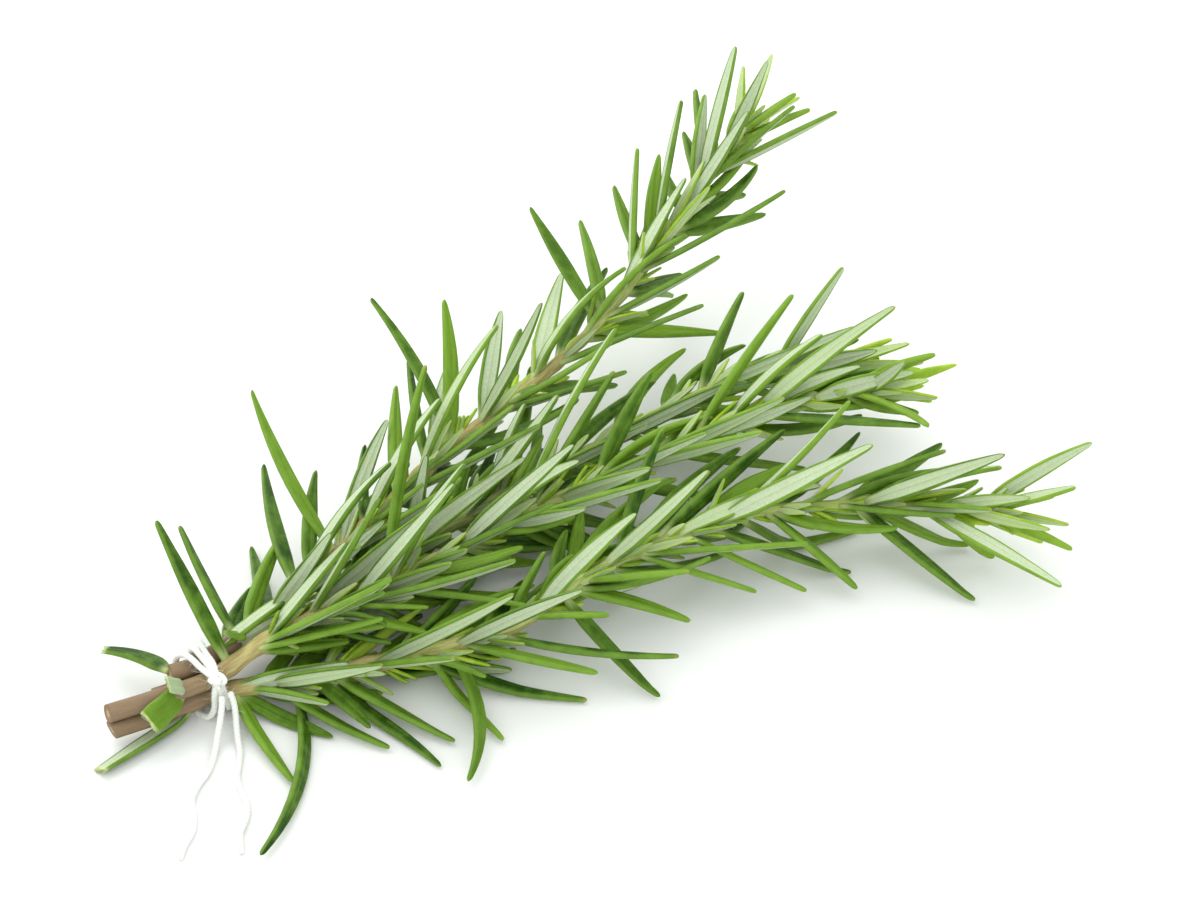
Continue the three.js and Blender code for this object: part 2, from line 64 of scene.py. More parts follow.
TUFT = {
    "behind": 1.5, "gap": 0.6, "turn": 137, "azimuth": 12, "length": 14, "length_swing": 3,
    "spread": 8, "opening": 4, "curl": 12, "size": 0.8,
}
CLEARANCE = 0.4
OWN_CLEARANCE = 0.05
NEAR = 5
STEM_SAMPLE = 1.5
LOOP_ROOM = 0.1
TAIL_ROOM = 0.05
TAIL_SAMPLES = 30
ROOT_ZONE = 5
SURFACE_GAP = 0.04
LANDING = 4
PLACE_TRIES = 60
TRY_TURN = 7
TRY_OPEN = 3
TRY_ANGLE = 2.4
TRY_SHORTER = 0.004
THREAD_RADIUS = 0.5
LOOP_STEPS = 20
LOOP_HALF_WIDTH = 4.55
LOOP_HALF_HEIGHT = 4.4
LOOP_CENTRE = (-0.5, 0, 4.6)
LOOP_SQUARENESS = 3.6
LOOP_FANS = (-2.6, 0.5, 2.6)
KNOT_ANGLE = 140
KNOT_CENTRE = (-0.5, -4.4, 8.2)
KNOT_SIZE = (1.5, 1.2, 1.3)

# One row a sprig: its stem's axis, and its single leaves, each (place, azimuth, length, spread,
# curl, width, cut).
SPRIGS = [{
    "name": "sprig_front", "seed": 7, "first": 26, "turn": 35,
    "route": [
        (-16.5, 0.6, 2.8), (-9, -0.8, 2.9), (0, -1.9, 3), (7, -5, 3.6), (16, -9.3, 4.4),
        (25, -13.3, 5.2), (36, -17.3, 6), (45, -19.3, 7), (54, -19.5, 9.5), (64, -19.6, 10.5),
        (78, -21.2, 10.5), (88, -23, 10.2), (101, -29.5, 9.8), (110.5, -36, 9.2), (119, -43, 9),
    ],
    "leaves": [
        (13, 160, 18, 145, 0, 3.3, 1), (20, 95, 20, 78, 5, 2.9), (20, 120, 17, 40, 0, 2.6),
        (22, 80, 14, 25, -10, 2.6), (20, 30, 18, 15, 10, 2.9), (26, 110, 21, 45, 5, 2.9),
        (29, 130, 35, 85, -50, 2.9), (32, 100, 13, 50, -10, 2.3), (35, 110, 22, 42, 0, 3.4),
        (40, 50, 19, 45, 0, 2.8), (48, 70, 15, 40, -25, 2.8), (50, 125, 19, 65, -10, 2.5),
        (53, 100, 25, 65, -60, 2.6), (56, 80, 23, 45, 0, 3.4), (67, 80, 13, 40, -10, 2.8),
        (73, 115, 22, 88, 5, 2.6), (75, 120, 19, 40, -15, 2.9), (77, 70, 18, 48, -5, 2.8),
        (84, -45, 22, 50, 10, 2.5), (87, 120, 20, 40, 0, 3), (91, -60, 30, 22, 5, 3),
        (96, 120, 21, 45, 0, 2.8), (101, 30, 28, 30, 0, 3.4), (110, 120, 19, 45, -10, 3.2),
        (124, -80, 20, 35, 0, 2.9), (126, 20, 26, 40, 0, 3), (125, 120, 24, 42, 0, 3),
        (135, 85, 28, 38, -5, 3), (145, 90, 16, 22, -10, 2.3), (144.5, -50, 21, 40, 10, 2.8),
        (145.5, 0, 15, 24, 0, 2.3),
    ],
}, {
    "name": "sprig_inner", "seed": 23, "first": 30, "turn": 10,
    "route": [
        (-8, 2.7, 3), (0, 1.9, 3), (18, 3.4, 4), (37, 4.6, 6), (56, 5.4, 7.8), (75, 5.4, 9),
        (88, 5.8, 9.6), (98, 5.4, 10), (107, 3, 10.6), (113, 0, 11.2), (120, -4.5, 12),
    ],
    "leaves": [
        (99, -100, 10, 45, 0, 2.3), (106, -60, 20, 45, 5, 2.6), (119, -45, 21, 50, 5, 2.6),
        (122, 40, 17, 40, 5, 2.9),
    ],
}, {
    "name": "sprig_middle", "seed": 41, "first": 27, "turn": 60,
    "route": [
        (-16.5, 1.2, 5.9), (-9, -0.5, 6.2), (0, -1.9, 6.5), (8, -1.6, 8.2), (15, -2.6, 9.6),
        (22, -3.4, 10), (33, -3.7, 10.6), (45, -3.7, 11.4), (57, -3.9, 12), (71, -5.1, 13),
        (81, -6, 14), (91.5, -7.7, 15), (102, -10.3, 16), (111, -14.2, 17), (117, -18.3, 18),
    ],
    "leaves": [
        (11.5, 90, 7.5, 150, 0, 4.2, 1), (12.2, 20, 4.5, 130, 0, 2.8, 1),
        (20, -50, 24.5, 80, 0, 3.2), (27, 0, 20, 35, 5, 2.8), (25, 110, 14, 25, -5, 2.6),
        (30, 80, 16, 30, -5, 2.6), (25, 70, 21, 35, 0, 3.2), (37, 70, 12, 35, -50, 2.9),
        (42, 10, 25, 45, 0, 3), (46, 50, 13, 40, 0, 3), (48, -45, 35, 58, 10, 2.5),
        (47, 90, 23, 40, -10, 2.8), (52, 70, 18, 40, 20, 2.8), (59, 175, 13, 50, 20, 2.6),
        (61, 20, 25, 45, 10, 2.8), (73, -40, 34, 45, 15, 2.8), (87, -50, 20, 40, 5, 3.1),
        (92, 60, 23, 35, 0, 3.1), (105, -50, 29, 35, 5, 2.8), (115, 0, 29, 35, 15, 3),
        (116, 90, 28, 40, -5, 2.3), (132, 70, 21, 45, -25, 2.8), (134, 20, 11, 45, -10, 2.5),
    ],
}, {
    "name": "sprig_back", "seed": 59, "first": 19, "turn": 80,
    "route": [
        (-5, 2.5, 6.6), (0, 1.9, 6.6), (12, 3, 7.8), (32, 8.4, 10), (52, 15, 12), (66, 18.2, 13),
        (80, 21.6, 14), (91, 24.7, 16), (103, 30, 18), (117, 36, 21), (130, 41.6, 24),
        (136, 45, 25.5),
    ],
    "leaves": [
        (7.5, 10, 17, 15, 8, 3.1), (13, 30, 8, 140, 20, 2.9), (9, 45, 15, 12, 8, 2.8),
        (18, 40, 18, 25, 8, 2.8), (24, 40, 18, 25, 8, 2.6), (0.2, -100, 13, 100, -40, 3, 1),
        (12, -70, 21, 80, 5, 2.8), (10, -110, 16, 50, 10, 2.8), (14, -90, 20, 40, 10, 3),
        (25, -90, 28, 60, 10, 2.8), (28, -75, 20, 45, 10, 2.6), (34, -70, 32, 75, 15, 2.3),
        (35, -80, 27, 30, 10, 3), (41, -90, 18, 45, 10, 2.3), (57, -80, 22, 50, 5, 2.6),
        (59, -95, 24, 40, 10, 3.1), (63, -70, 30, 60, -20, 2.2), (70, -70, 22, 40, 5, 3.2),
        (76, -100, 20, 40, 5, 2.8), (73, 70, 22, 40, 0, 2.8), (83, -90, 26, 35, 5, 3.4),
        (97, -110, 12, 35, 5, 2.3), (97, 130, 24, 40, -5, 2.6), (99, -70, 24, 65, 0, 2.5),
        (110, -50, 24, 35, 5, 2.8), (114, -85, 18, 50, 5, 2.5), (116, -65, 20, 30, 5, 2.8),
        (107, 160, 16, 30, 0, 2.8), (122, 130, 20, 35, 0, 2.9), (127, -95, 10, 50, 5, 2.3),
        (131, -60, 20, 30, 5, 3.3), (131, 150, 12, 40, 0, 2.5), (133, -15, 25, 38, 5, 3.2),
        (136, -85, 20, 40, 5, 2.4), (137, 80, 24, 34, 0, 2.9), (147, 70, 12, 30, -10, 2.4),
    ],
}]

TAILS = {
    "thread_end_left": [
        (-0.9, -6.1, 6.6), (-1.4, -6.7, 4.9), (-2.2, -7.4, 3.3), (-3.3, -8.4, 1.9),
        (-4.6, -9.8, 0.9), (-6.2, -11.6, 0.55), (-8.2, -13.4, 0.55), (-10.6, -14.8, 0.55),
        (-12.8, -16.8, 0.55), (-14, -19.6, 0.55), (-15.8, -22.2, 0.55), (-18.4, -24.2, 0.55),
        (-20, -25.8, 0.55),
    ],
    "thread_end_right": [
        (0.5, -6.2, 6.7), (0.6, -6.9, 5), (0.3, -7.7, 3.4), (-0.3, -8.8, 2), (-1, -10.3, 0.95),
        (-1.9, -12.4, 0.55), (-3.4, -14.6, 0.55), (-5, -16.8, 0.55), (-5.8, -19.4, 0.55),
        (-6.4, -22, 0.55), (-8, -24.6, 0.55), (-10.2, -26.6, 0.55), (-12, -30, 0.55),
    ],
}

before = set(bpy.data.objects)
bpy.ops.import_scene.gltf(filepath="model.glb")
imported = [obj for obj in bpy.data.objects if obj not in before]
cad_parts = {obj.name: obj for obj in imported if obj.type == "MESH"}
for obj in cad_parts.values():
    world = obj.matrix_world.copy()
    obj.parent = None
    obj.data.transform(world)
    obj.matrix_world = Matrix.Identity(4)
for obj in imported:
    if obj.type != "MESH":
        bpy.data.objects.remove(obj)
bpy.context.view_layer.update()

VIEW_TARGET = Vector((82.2, 12.7, 0)) * MM
VIEW_DISTANCE = 556 * MM
VIEW_ELEVATION = radians(42)
VIEW_TURN = radians(35)


def add_object(name, data):
    made = bpy.data.objects.new(name, data)
    bpy.context.scene.collection.objects.link(made)
    return made


def point_at(thing, aim):
    thing.rotation_euler = aim.to_track_quat("-Z", "Y").to_euler()


def make_camera():
    data = bpy.data.cameras.new("photo_camera")
    data.lens = 100
    data.sensor_width = 36
    data.clip_start = 0.01
    data.clip_end = 20
    camera = add_object("photo_camera", data)
    level = VIEW_DISTANCE * cos(VIEW_ELEVATION)
    height = VIEW_DISTANCE * sin(VIEW_ELEVATION)
    away = Vector((-level * sin(VIEW_TURN), -level * cos(VIEW_TURN), height))
    camera.location = VIEW_TARGET + away
    point_at(camera, -away)
    bpy.context.scene.camera = camera


# --- Curves ---


def clamp(value, low, high):
    return min(max(value, low), high)


def lerp(a, b, share):
    return a + (b - a) * share


def cubic(p1, p2, t1, t2):
    """A cubic's last two coefficients, from its ends and its tangents there."""
    return -3 * p1 + 3 * p2 - 2 * t1 - t2, 2 * p1 - 2 * p2 + t1 + t2


def catmull_rom(p, weight, tension=None):
    """A point of the span p[1] to p[2]: uniform with a tension, or centripetal without one."""
    p0, p1, p2, p3 = p
    if tension is None:
        d0, d1, d2 = (np.sum((a - b) ** 2) ** 0.25 for a, b in zip(p, p[1:]))
        t1 = ((p1 - p0) / d0 - (p2 - p0) / (d0 + d1) + (p2 - p1) / d1) * d1
        t2 = ((p2 - p1) / d1 - (p3 - p1) / (d1 + d2) + (p3 - p2) / d2) * d1
    else:
        t1 = tension * (p2 - p0)
        t2 = tension * (p3 - p1)
    c2, c3 = cubic(p1, p2, t1, t2)
    return p1 + weight * (t1 + weight * (c2 + weight * c3))


class Line:
    """A smooth line through points, measured along itself."""

    STEPS = 200
    NUDGE = 0.0001

    def __init__(self, points, tension=None):
        self.points = np.array(points, float)
        self.tension = tension
        self.measure()

    def measure(self):
        table = np.array([self.at(i / self.STEPS) for i in range(self.STEPS + 1)])
        gaps = np.linalg.norm(np.diff(table, axis=0), axis=1)
        self.lengths = np.concatenate([[0], np.cumsum(gaps)])
        self.length = float(self.lengths[-1])

    def at(self, t):
        points = self.points
        count = len(points)
        place = (count - 1) * clamp(t, 0, 1)
        i = int(place)
        weight = place - i
        if i >= count - 1:
            i, weight = count - 2, 1.0
        before = points[i - 1] if i > 0 else 2 * points[0] - points[1]
        after = points[i + 2] if i + 2 < count else 2 * points[-1] - points[-2]
        return catmull_rom((before, points[i], points[i + 1], after), weight, self.tension)

    def share(self, u):
        target = u * self.length
        i = int(np.searchsorted(self.lengths, target, side="right")) - 1
        if i >= self.STEPS:
            return 1.0
        step = self.lengths[i + 1] - self.lengths[i]
        return (i + (target - self.lengths[i]) / step) / self.STEPS

    def point(self, u):
        return self.at(self.share(u))

    def tangent(self, u):
        """The direction at a share of the length."""
        t = self.share(u)
        delta = self.at(t + self.NUDGE) - self.at(t - self.NUDGE)
        return delta / np.linalg.norm(delta)


class Ring(Line):
    """A closed line, given by its point at an angle."""

    STEPS = 240
    NUDGE = 0.002

    def __init__(self, at_angle):
        self.at_angle = at_angle
        self.measure()

    def at(self, t):
        return np.array(self.at_angle(2 * pi * t), float)


# --- Stems and leaves as in the frame ---

LEAF_KEYS = ("place", "azimuth", "length", "spread", "curl", "width")
# What a leaf can touch is no further from its root than its length and this room. Two points nearer
# than TOUCHING are one.
REACH_ROOM = 6
REACH_SPARE = 1.02
TOUCHING = 0.01


def seeded(seed):
    """Park and Miller's generator."""
    state = seed

    def draw():
        nonlocal state
        state = state * 48271 % 2147483647
        return state / 2147483647

    return draw


def stem_radius(share):
    return lerp(STEM_BASE_RADIUS, STEM_TIP_RADIUS, share)


def cross(a, b):
    return (a[1] * b[2] - a[2] * b[1], a[2] * b[0] - a[0] * b[2], a[0] * b[1] - a[1] * b[0])


def unit(a):
    size = sqrt(a[0] * a[0] + a[1] * a[1] + a[2] * a[2])
    return (a[0] / size, a[1] / size, a[2] / size)


def mix(a, p, b, q):
    return (a[0] * p + b[0] * q, a[1] * p + b[1] * q, a[2] * p + b[2] * q)


class Stem:
    def __init__(self, name, route):
        self.name = name
        self.line = Line(route, 0.5)
        self.length = self.line.length
        self.frames = {}

    def frame(self, place):
        """Point, direction, right and top of the stem at a place along it."""
        if place not in self.frames:
            share = place / self.length
            along = tuple(self.line.tangent(share))
            right = unit(cross(along, (0, 0, 1)))
            self.frames[place] = (tuple(self.line.point(share)), along, right, cross(right, along))
        return self.frames[place]


def leaf_profile(share):
    opening = LEAF_ROOT_WIDTH + share * LEAF_SWELL
    closing = LEAF_END_WIDTH + (1 - share) * LEAF_SWELL
    return min(1, opening, closing)


def leaf_line(stem, leaf):
    """The leaf's middle line: (point, along, face, side, half width, half thickness) a sample."""
    root, ahead, right, top = stem.frame(leaf["place"])
    azimuth = radians(leaf["azimuth"])
    outward = mix(top, cos(azimuth), right, sin(azimuth))
    spread = radians(leaf["spread"])
    along = mix(ahead, cos(spread), outward, sin(spread))
    face = mix(ahead, sin(spread), outward, -cos(spread))
    point = mix(root, 1, outward, ROOT_DEPTH * stem_radius(leaf["place"] / stem.length))
    step = leaf["length"] / LEAF_STEPS
    curl = radians(leaf["curl"]) / LEAF_STEPS
    roll = radians(leaf["roll"])
    half_thickness = 0.5 * leaf["thickness"]
    samples = []
    for i in range(LEAF_STEPS + 1):
        half_width = 0.5 * leaf["width"] * leaf_profile(i / LEAF_STEPS)
        upper = mix(face, cos(roll), cross(along, face), sin(roll))
        side = cross(along, upper)
        floor = math.hypot(half_width * side[2], half_thickness * upper[2]) + SURFACE_GAP
        point = (point[0], point[1], max(point[2], floor))
        samples.append((point, along, upper, side, half_width, half_thickness))
        along = mix(along, cos(curl), face, sin(curl))
        lowest = -(point[2] - floor) / LANDING
        if along[2] < lowest:
            along = unit((along[0], along[1], lowest))
        dot = face[0] * along[0] + face[1] * along[1] + face[2] * along[2]
        face = unit(mix(face, 1, along, -dot))
        point = mix(point, 1, along, step)
    return samples, step


def sample_arrays(line, step):
    """A leaf's samples as points, half axes and depths from its root."""
    points, along, face, side = (np.array([sample[k] for sample in line]) for k in range(4))
    half_width, half_thickness = np.array([sample[4:] for sample in line]).T[:, :, None]
    axes = np.stack([along * 0.5 * step, face * half_thickness, side * half_width], axis=1)
    return points, axes, np.arange(len(line)) * step


class Placed:
    """Everything that leaves keep clear of: point, half axes, depth and owner a row."""

    def __init__(self):
        self.rows = np.zeros((0, 14))

    def add(self, points, axes, depths, owner):
        owners = np.full(len(points), owner)
        rows = np.column_stack([points, axes.reshape(-1, 9), depths, owners])
        self.rows = np.concatenate([self.rows, rows])

    def add_round(self, points, radius, owner):
        axes = np.eye(3) * np.full(len(points), radius, float)[:, None, None]
        self.add(np.array(points, float), axes, np.full(len(points), ROOT_ZONE), owner)

    def near(self, line, owner):
        """What a leaf that starts here can touch, for many tries."""
        length = sum(math.dist(a[0], b[0]) for a, b in zip(line, line[1:]))
        distance = np.linalg.norm(self.rows[:, :3] - np.array(line[0][0]), axis=1)
        rows = self.rows[distance < REACH_ROOM + REACH_SPARE * length]
        return rows[:, :3], rows[:, 3:12].reshape(-1, 3, 3), rows[:, 12], rows[:, 13] == owner


def is_clear(line, step, near, zone):
    """Whether a leaf clears everything but its own sprig within a zone round the roots."""
    points, axes, depths = sample_arrays(line, step)
    others, other_axes, other_depths, own = near
    away = others[None] - points[:, None]
    distance = np.linalg.norm(away, axis=2)
    skipped = own & ((depths[:, None] < zone) | (other_depths < zone))
    i, j = np.nonzero((distance <= NEAR) & ~skipped)
    if not len(i):
        return True
    gap = distance[i, j]
    if gap.min() < TOUCHING:
        return False
    direction = away[i, j] / gap[:, None]
    extent = np.linalg.norm(np.einsum("nij,nj->ni", axes[i], direction), axis=1)
    other = np.linalg.norm(np.einsum("nij,nj->ni", other_axes[j], direction), axis=1)
    room = np.where(own[j], OWN_CLEARANCE, CLEARANCE)
    return not np.any(gap < extent + other + room)


def place_leaf(stem, leaf, placed, owner, zone):
    """The leaf's line at the first try that is clear, or None."""
    near = placed.near(leaf_line(stem, leaf)[0], owner)
    for attempt in range(PLACE_TRIES):
        reach = sqrt(attempt)
        moved = dict(leaf)
        moved["azimuth"] = leaf["azimuth"] + TRY_TURN * reach * cos(attempt * TRY_ANGLE)
        moved["spread"] = leaf["spread"] + TRY_OPEN * reach * sin(attempt * TRY_ANGLE)
        moved["length"] = leaf["length"] * (1 - TRY_SHORTER * attempt)
        found = leaf_line(stem, moved)
        if is_clear(*found, near, zone):
            return found
    return None


def leaf_roll(azimuth, draw):
    return LEAF_LIFT * sin(radians(azimuth)) + LEAF_ROLL * (2 * draw() - 1)


def named_leaves(rows, seed):
    draw = seeded(seed + ROLL_SEED)
    leaves = []
    for row in rows:
        leaf = dict(zip(LEAF_KEYS, row))
        leaf["roll"] = leaf_roll(leaf["azimuth"], draw)
        leaf["thickness"] = LEAF_THICKNESS
        leaf["cut"] = len(row) > len(LEAF_KEYS)
        leaves.append(leaf)
    return leaves


def grown_leaves(seed, first, turn, length):
    """Leaves in crosswise pairs, some with a small one in the axil, and a tuft at the tip."""
    draw = seeded(seed)

    def swing(middle, by):
        return middle + by * (2 * draw() - 1)

    grown = []
    place = first
    while place < length - TIP_LENGTH:
        share = place / length
        late = max(0, (share - LATE_START) / (1 - LATE_START))
        full = LEAF_LENGTH * (END_LENGTH + (1 - END_LENGTH) * sin(pi * share))
        for half in (0, 180):
            leaf = {
                "place": swing(place, SWING["place"]),
                "azimuth": swing(turn + half, SWING["azimuth"]),
                "length": swing(full, SWING["length"]) * (1 - LATE_SHORTER * late),
                "spread": swing(lerp(SPREAD_BASE, SPREAD_TIP, share), SWING["spread"]),
                "curl": swing(LEAF_CURL, SWING["curl"]),
                "thickness": LEAF_THICKNESS, "cut": False,
            }
            leaf["roll"] = leaf_roll(leaf["azimuth"], draw)
            leaf["width"] = swing(LEAF_WIDTH, SWING["width"])
            grown.append(leaf)
            young = draw() < YOUNG_SHARE
            small = leaf | {
                "place": leaf["place"] + YOUNG["ahead"],
                "azimuth": swing(leaf["azimuth"], YOUNG["azimuth"]),
                "length": leaf["length"] * swing(YOUNG["length"], YOUNG["length_swing"]),
                "spread": leaf["spread"] * YOUNG["spread"],
                "curl": swing(YOUNG["curl"], YOUNG["curl_swing"]),
                "width": leaf["width"] * YOUNG["width"],
                "thickness": LEAF_THICKNESS * YOUNG["thickness"],
                "young": True,
            }
            if young:
                grown.append(small)
        place += lerp(PAIR_GAP_BASE, PAIR_GAP_TIP, share)
        turn = swing(turn + 90, SWING["turn"])
    for i in range(TIP_LEAVES):
        behind = TIP_LEAVES - i
        grown.append({
            "place": length - TUFT["behind"] - TUFT["gap"] * behind,
            "azimuth": swing(turn + TUFT["turn"] * i, TUFT["azimuth"]),
            "length": swing(TUFT["length"], TUFT["length_swing"]),
            "spread": TUFT["spread"] + TUFT["opening"] * behind,
            "curl": swing(0, TUFT["curl"]),
            "width": LEAF_WIDTH * TUFT["size"],
            "thickness": LEAF_THICKNESS * TUFT["size"],
            "roll": 0, "cut": False, "young": True,
        })
    return grown


def loop_point(angle, fan):
    bend = 2 / LOOP_SQUARENESS
    c, s = cos(angle), sin(angle)
    away = abs(sin(0.5 * (angle - radians(KNOT_ANGLE))))
    return (
        LOOP_CENTRE[0] + fan * away,
        LOOP_CENTRE[1] + LOOP_HALF_WIDTH * math.copysign(abs(c) ** bend, c),
        LOOP_CENTRE[2] + LOOP_HALF_HEIGHT * math.copysign(abs(s) ** bend, s),
    )


def grow_everything():
    """The stems, every leaf's line by sprig in the frame's order, and a call that grows more."""
    stems = [Stem(row["name"], row["route"]) for row in SPRIGS]
    placed = Placed()
    for owner, stem in enumerate(stems):
        count = round(stem.length / STEM_SAMPLE)
        shares = np.arange(count + 1) / count
        points = [stem.line.point(share) for share in shares]
        placed.add_round(points, stem_radius(shares), owner)
    for fan in LOOP_FANS:
        points = [loop_point(2 * pi * i / LOOP_STEPS, fan) for i in range(LOOP_STEPS)]
        placed.add_round(points, THREAD_RADIUS + LOOP_ROOM, -1)
    placed.add_round([KNOT_CENTRE], KNOT_SIZE[2], -1)
    for points in TAILS.values():
        tail = Line(points)
        spaced = [tail.point(i / TAIL_SAMPLES) for i in range(TAIL_SAMPLES + 1)]
        placed.add_round(spaced, THREAD_RADIUS + TAIL_ROOM, -1)
    lines = {stem.name: [] for stem in stems}

    def grow(owner, leaves, zone=ROOT_ZONE):
        stem = stems[owner]
        for leaf in leaves:
            found = place_leaf(stem, leaf, placed, owner, zone)
            if found is not None:
                placed.add(*sample_arrays(*found), owner)
                lines[stem.name].append((leaf, *found))

    # Named leaves don't mind their own sprig.
    for owner, row in enumerate(SPRIGS):
        grow(owner, named_leaves(row["leaves"], row["seed"]), math.inf)
    for owner, row in enumerate(SPRIGS):
        grow(owner, grown_leaves(row["seed"], row["first"], row["turn"], stems[owner].length))
    return stems, lines, grow


# --- Fine surfaces ---

# Half of a leaf's cross-section from the groove on its upper face round the rolled margin to the
# midrib underneath: (across, up, how felted). Young leaves take some rows. Both ends are ovals.
LEAF_SECTION = (
    (0, 0.6, 0), (0.1, 0.68, 0), (0.34, 0.85, 0), (0.62, 0.8, 0), (0.84, 0.52, 0),
    (0.96, 0.12, 0), (1, -0.28, 0), (0.96, -0.58, 0), (0.86, -0.74, 0), (0.74, -0.76, 0.2),
    (0.63, -0.63, 0.9), (0.34, -0.56, 1), (0.12, -0.6, 1), (0, -0.68, 0.6),
)
YOUNG_SECTION = (0, 2, 4, 6, 8, 10, 13)
PLAIN_SECTION = (0.97, 0.86)
# A leaf's rings, as shares of its length, and those round its tip, as angles. The tip's length is
# so many half widths, and at most a share of the leaf's.
LEAF_SHARES = (0, 0.03, 0.07, 0.12, 0.18, 0.25, 0.33, 0.41, 0.49, 0.57, 0.65, 0.73, 0.8, 0.86, 0.91)
CUT_SHARES = (0.96, 1)
TIP_ANGLES = (0.3, 0.55, 0.8, 1.05, 1.3)
TIP_ROUNDNESS = 0.7
LONGEST_TIP = 0.12
TIP_POINT = 0.02
# The blade is narrow at its root, full, then narrower to its end. Its edge waves, and it twists.
ROOT_WIDTH = 0.5
ROOT_THICKNESS = 0.8
FULL_FROM = 0.28
NARROWS_FROM = 0.45
NARROWING = 1.6
NARROWER = {"whole": 0.76, "cut": 0.2, "torn": 0}
THINNER = 0.34
EDGE_WAVE = 0.035
EDGE_WAVES = (5, 11)
TWIST = 22
# A cut leaf's end is ragged. A short one is a torn scrap of thin blade, and the shortest are pale.
RAGGED = 0.45
TORN_STUB = 9
TORN_THICKNESS = 0.62
SHORT_STUB = 6
PALE_STUB = 0.6
CUT_GREEN = 0.4
# A stem swells at its leaf pairs, is a little square and ridged, and closes at its tip.
STEM_RING_GAP = 0.8
STEM_SIDES = 20
SWELLING = 0.16
SWELLING_LENGTH = 1.3
SQUARENESS = 0.035
RIDGES = 7
RIDGE_HEIGHT = 0.012
STEM_TIP = 2
STEM_TIP_CLOSING = 0.6
BARK_GRAIN = 1.2
# Its cut end slants, with the pith sunk in: (share of its radius, depth) a ring.
CUT_SLANT = 0.35
CUT_CENTRE = 0.14
CUT_RINGS = np.array([(0.12, 0.12), (0.4, 0), (0.8, 0), (0.96, -0.03)])
# Yarn of plies side by side, and the fibres that stand off it.
PLIES = 3
PLY_GROOVE = 0.13
YARN_PITCH = 2.1
YARN_RING_GAP = 0.14
YARN_SIDES = 18
YARN_ENDS = (0.7, 0.92, 0.92, 0.7)
FIBRE_STEPS = 5
FIBRE_RADIUS = 0.026
FIBRE_TAPER = 0.6
FIBRE_ROOT = 0.7
FIBRE_OUT = (0.4, 1.2)
FIBRE_ALONG = (-1.3, 1.3)
FIBRE_BEND = 0.35
SHORTEST_FIBRE = 0.5
# Leaves and fibres, and yarn, stay a little above the floor.
FLOOR_GAP = 0.02
YARN_FLOOR_GAP = 0.01
# The tone of yarn, which has none.
PLAIN = (0, 0, 0, 1)


class Surface:
    """Points, faces and colour attributes of one piece, gathered in millimetres."""

    def __init__(self):
        self.rows, self.faces, self.material = [], [], []
        self.count = 0

    def add_rows(self, points, blade, tone, grain):
        tones = np.broadcast_to(np.array(tone, float), (len(points), 4))
        self.rows.append(np.hstack([points, blade.reshape(-1, 4), tones, grain.reshape(-1, 3)]))
        self.count += len(points)

    def add(self, rings, blade, grain, tone=PLAIN, material=0, closed=False, start=None, end=None):
        """Rings of corners; start and end are points that close the ends."""
        total, sides = rings.shape[:2]
        base = self.count
        self.add_rows(rings.reshape(-1, 3), blade, tone, grain)
        spans = total if closed else total - 1
        i = np.repeat(np.arange(spans), sides)
        j = np.tile(np.arange(sides), spans)
        k = (j + 1) % sides
        low, high = base + i * sides, base + ((i + 1) % total) * sides
        self.faces += np.stack([low + j, low + k, high + k, high + j], axis=1).tolist()
        for point, ring in ((start, 0), (end, total - 1)):
            if point is None:
                continue
            corner, centre = base + ring * sides, self.count
            self.add_rows(np.array([point]), blade[ring, :1], tone, grain[ring, :1])
            for a in range(sides):
                face = [corner + a, corner + (a + 1) % sides, centre]
                self.faces.append(face[::-1] if ring == 0 else face)
        self.material += [material] * (len(self.faces) - len(self.material))

    def build(self, name, materials):
        mesh = bpy.data.meshes.new(name)
        points, blade, tone, grain = np.split(np.concatenate(self.rows), (3, 7, 11), axis=1)
        mesh.from_pydata((points * MM).tolist(), [], self.faces)
        for label, kind, field, values in (
            ("blade", "FLOAT_COLOR", "color", blade),
            ("tone", "FLOAT_COLOR", "color", tone),
            ("grain", "FLOAT_VECTOR", "vector", grain),
        ):
            layer = mesh.attributes.new(label, kind, "POINT")
            layer.data.foreach_set(field, values.astype(np.float32).ravel())
        for material in materials:
            mesh.materials.append(material)
        mesh.polygons.foreach_set("material_index", self.material)
        mesh.polygons.foreach_set("use_smooth", [True] * len(self.faces))
        mesh.validate()
        mesh.update()
        return add_object(name, mesh)


def blank(rings):
    """Empty blade and grain values for rings of corners."""
    return np.zeros(rings.shape[:2] + (4,)), np.zeros(rings.shape)


def smooth_samples(line, shares):
    """Points, directions, faces and sides between the samples of a leaf's line."""
    points = np.array([sample[0] for sample in line])
    faces = np.array([sample[2] for sample in line])
    padded = np.concatenate([[2 * points[0] - points[1]], points, [2 * points[-1] - points[-2]]])
    count = len(points) - 1
    place = shares * count
    i = np.minimum(place.astype(int), count - 1)
    w = (place - i)[:, None]
    p0, p1, p2, p3 = (padded[i + k] for k in range(4))
    t1, t2 = 0.5 * (p2 - p0), 0.5 * (p3 - p1)
    c2, c3 = cubic(p1, p2, t1, t2)
    middle = p1 + w * (t1 + w * (c2 + w * c3))
    along = t1 + w * (2 * c2 + 3 * w * c3)
    along /= np.linalg.norm(along, axis=1)[:, None]
    face = faces[i] * (1 - w) + faces[np.minimum(i + 1, count)] * w
    face -= along * np.sum(face * along, axis=1)[:, None]
    face /= np.linalg.norm(face, axis=1)[:, None]
    return middle, along, face, np.cross(along, face)


def leaf_section(young):
    """Across, up and how felted, all round the leaf."""
    rows = [LEAF_SECTION[i] for i in YOUNG_SECTION] if young else list(LEAF_SECTION)
    mirrored = [(-x, y, felt) for x, y, felt in rows[-2:0:-1]]
    return np.array(rows + mirrored, float).T


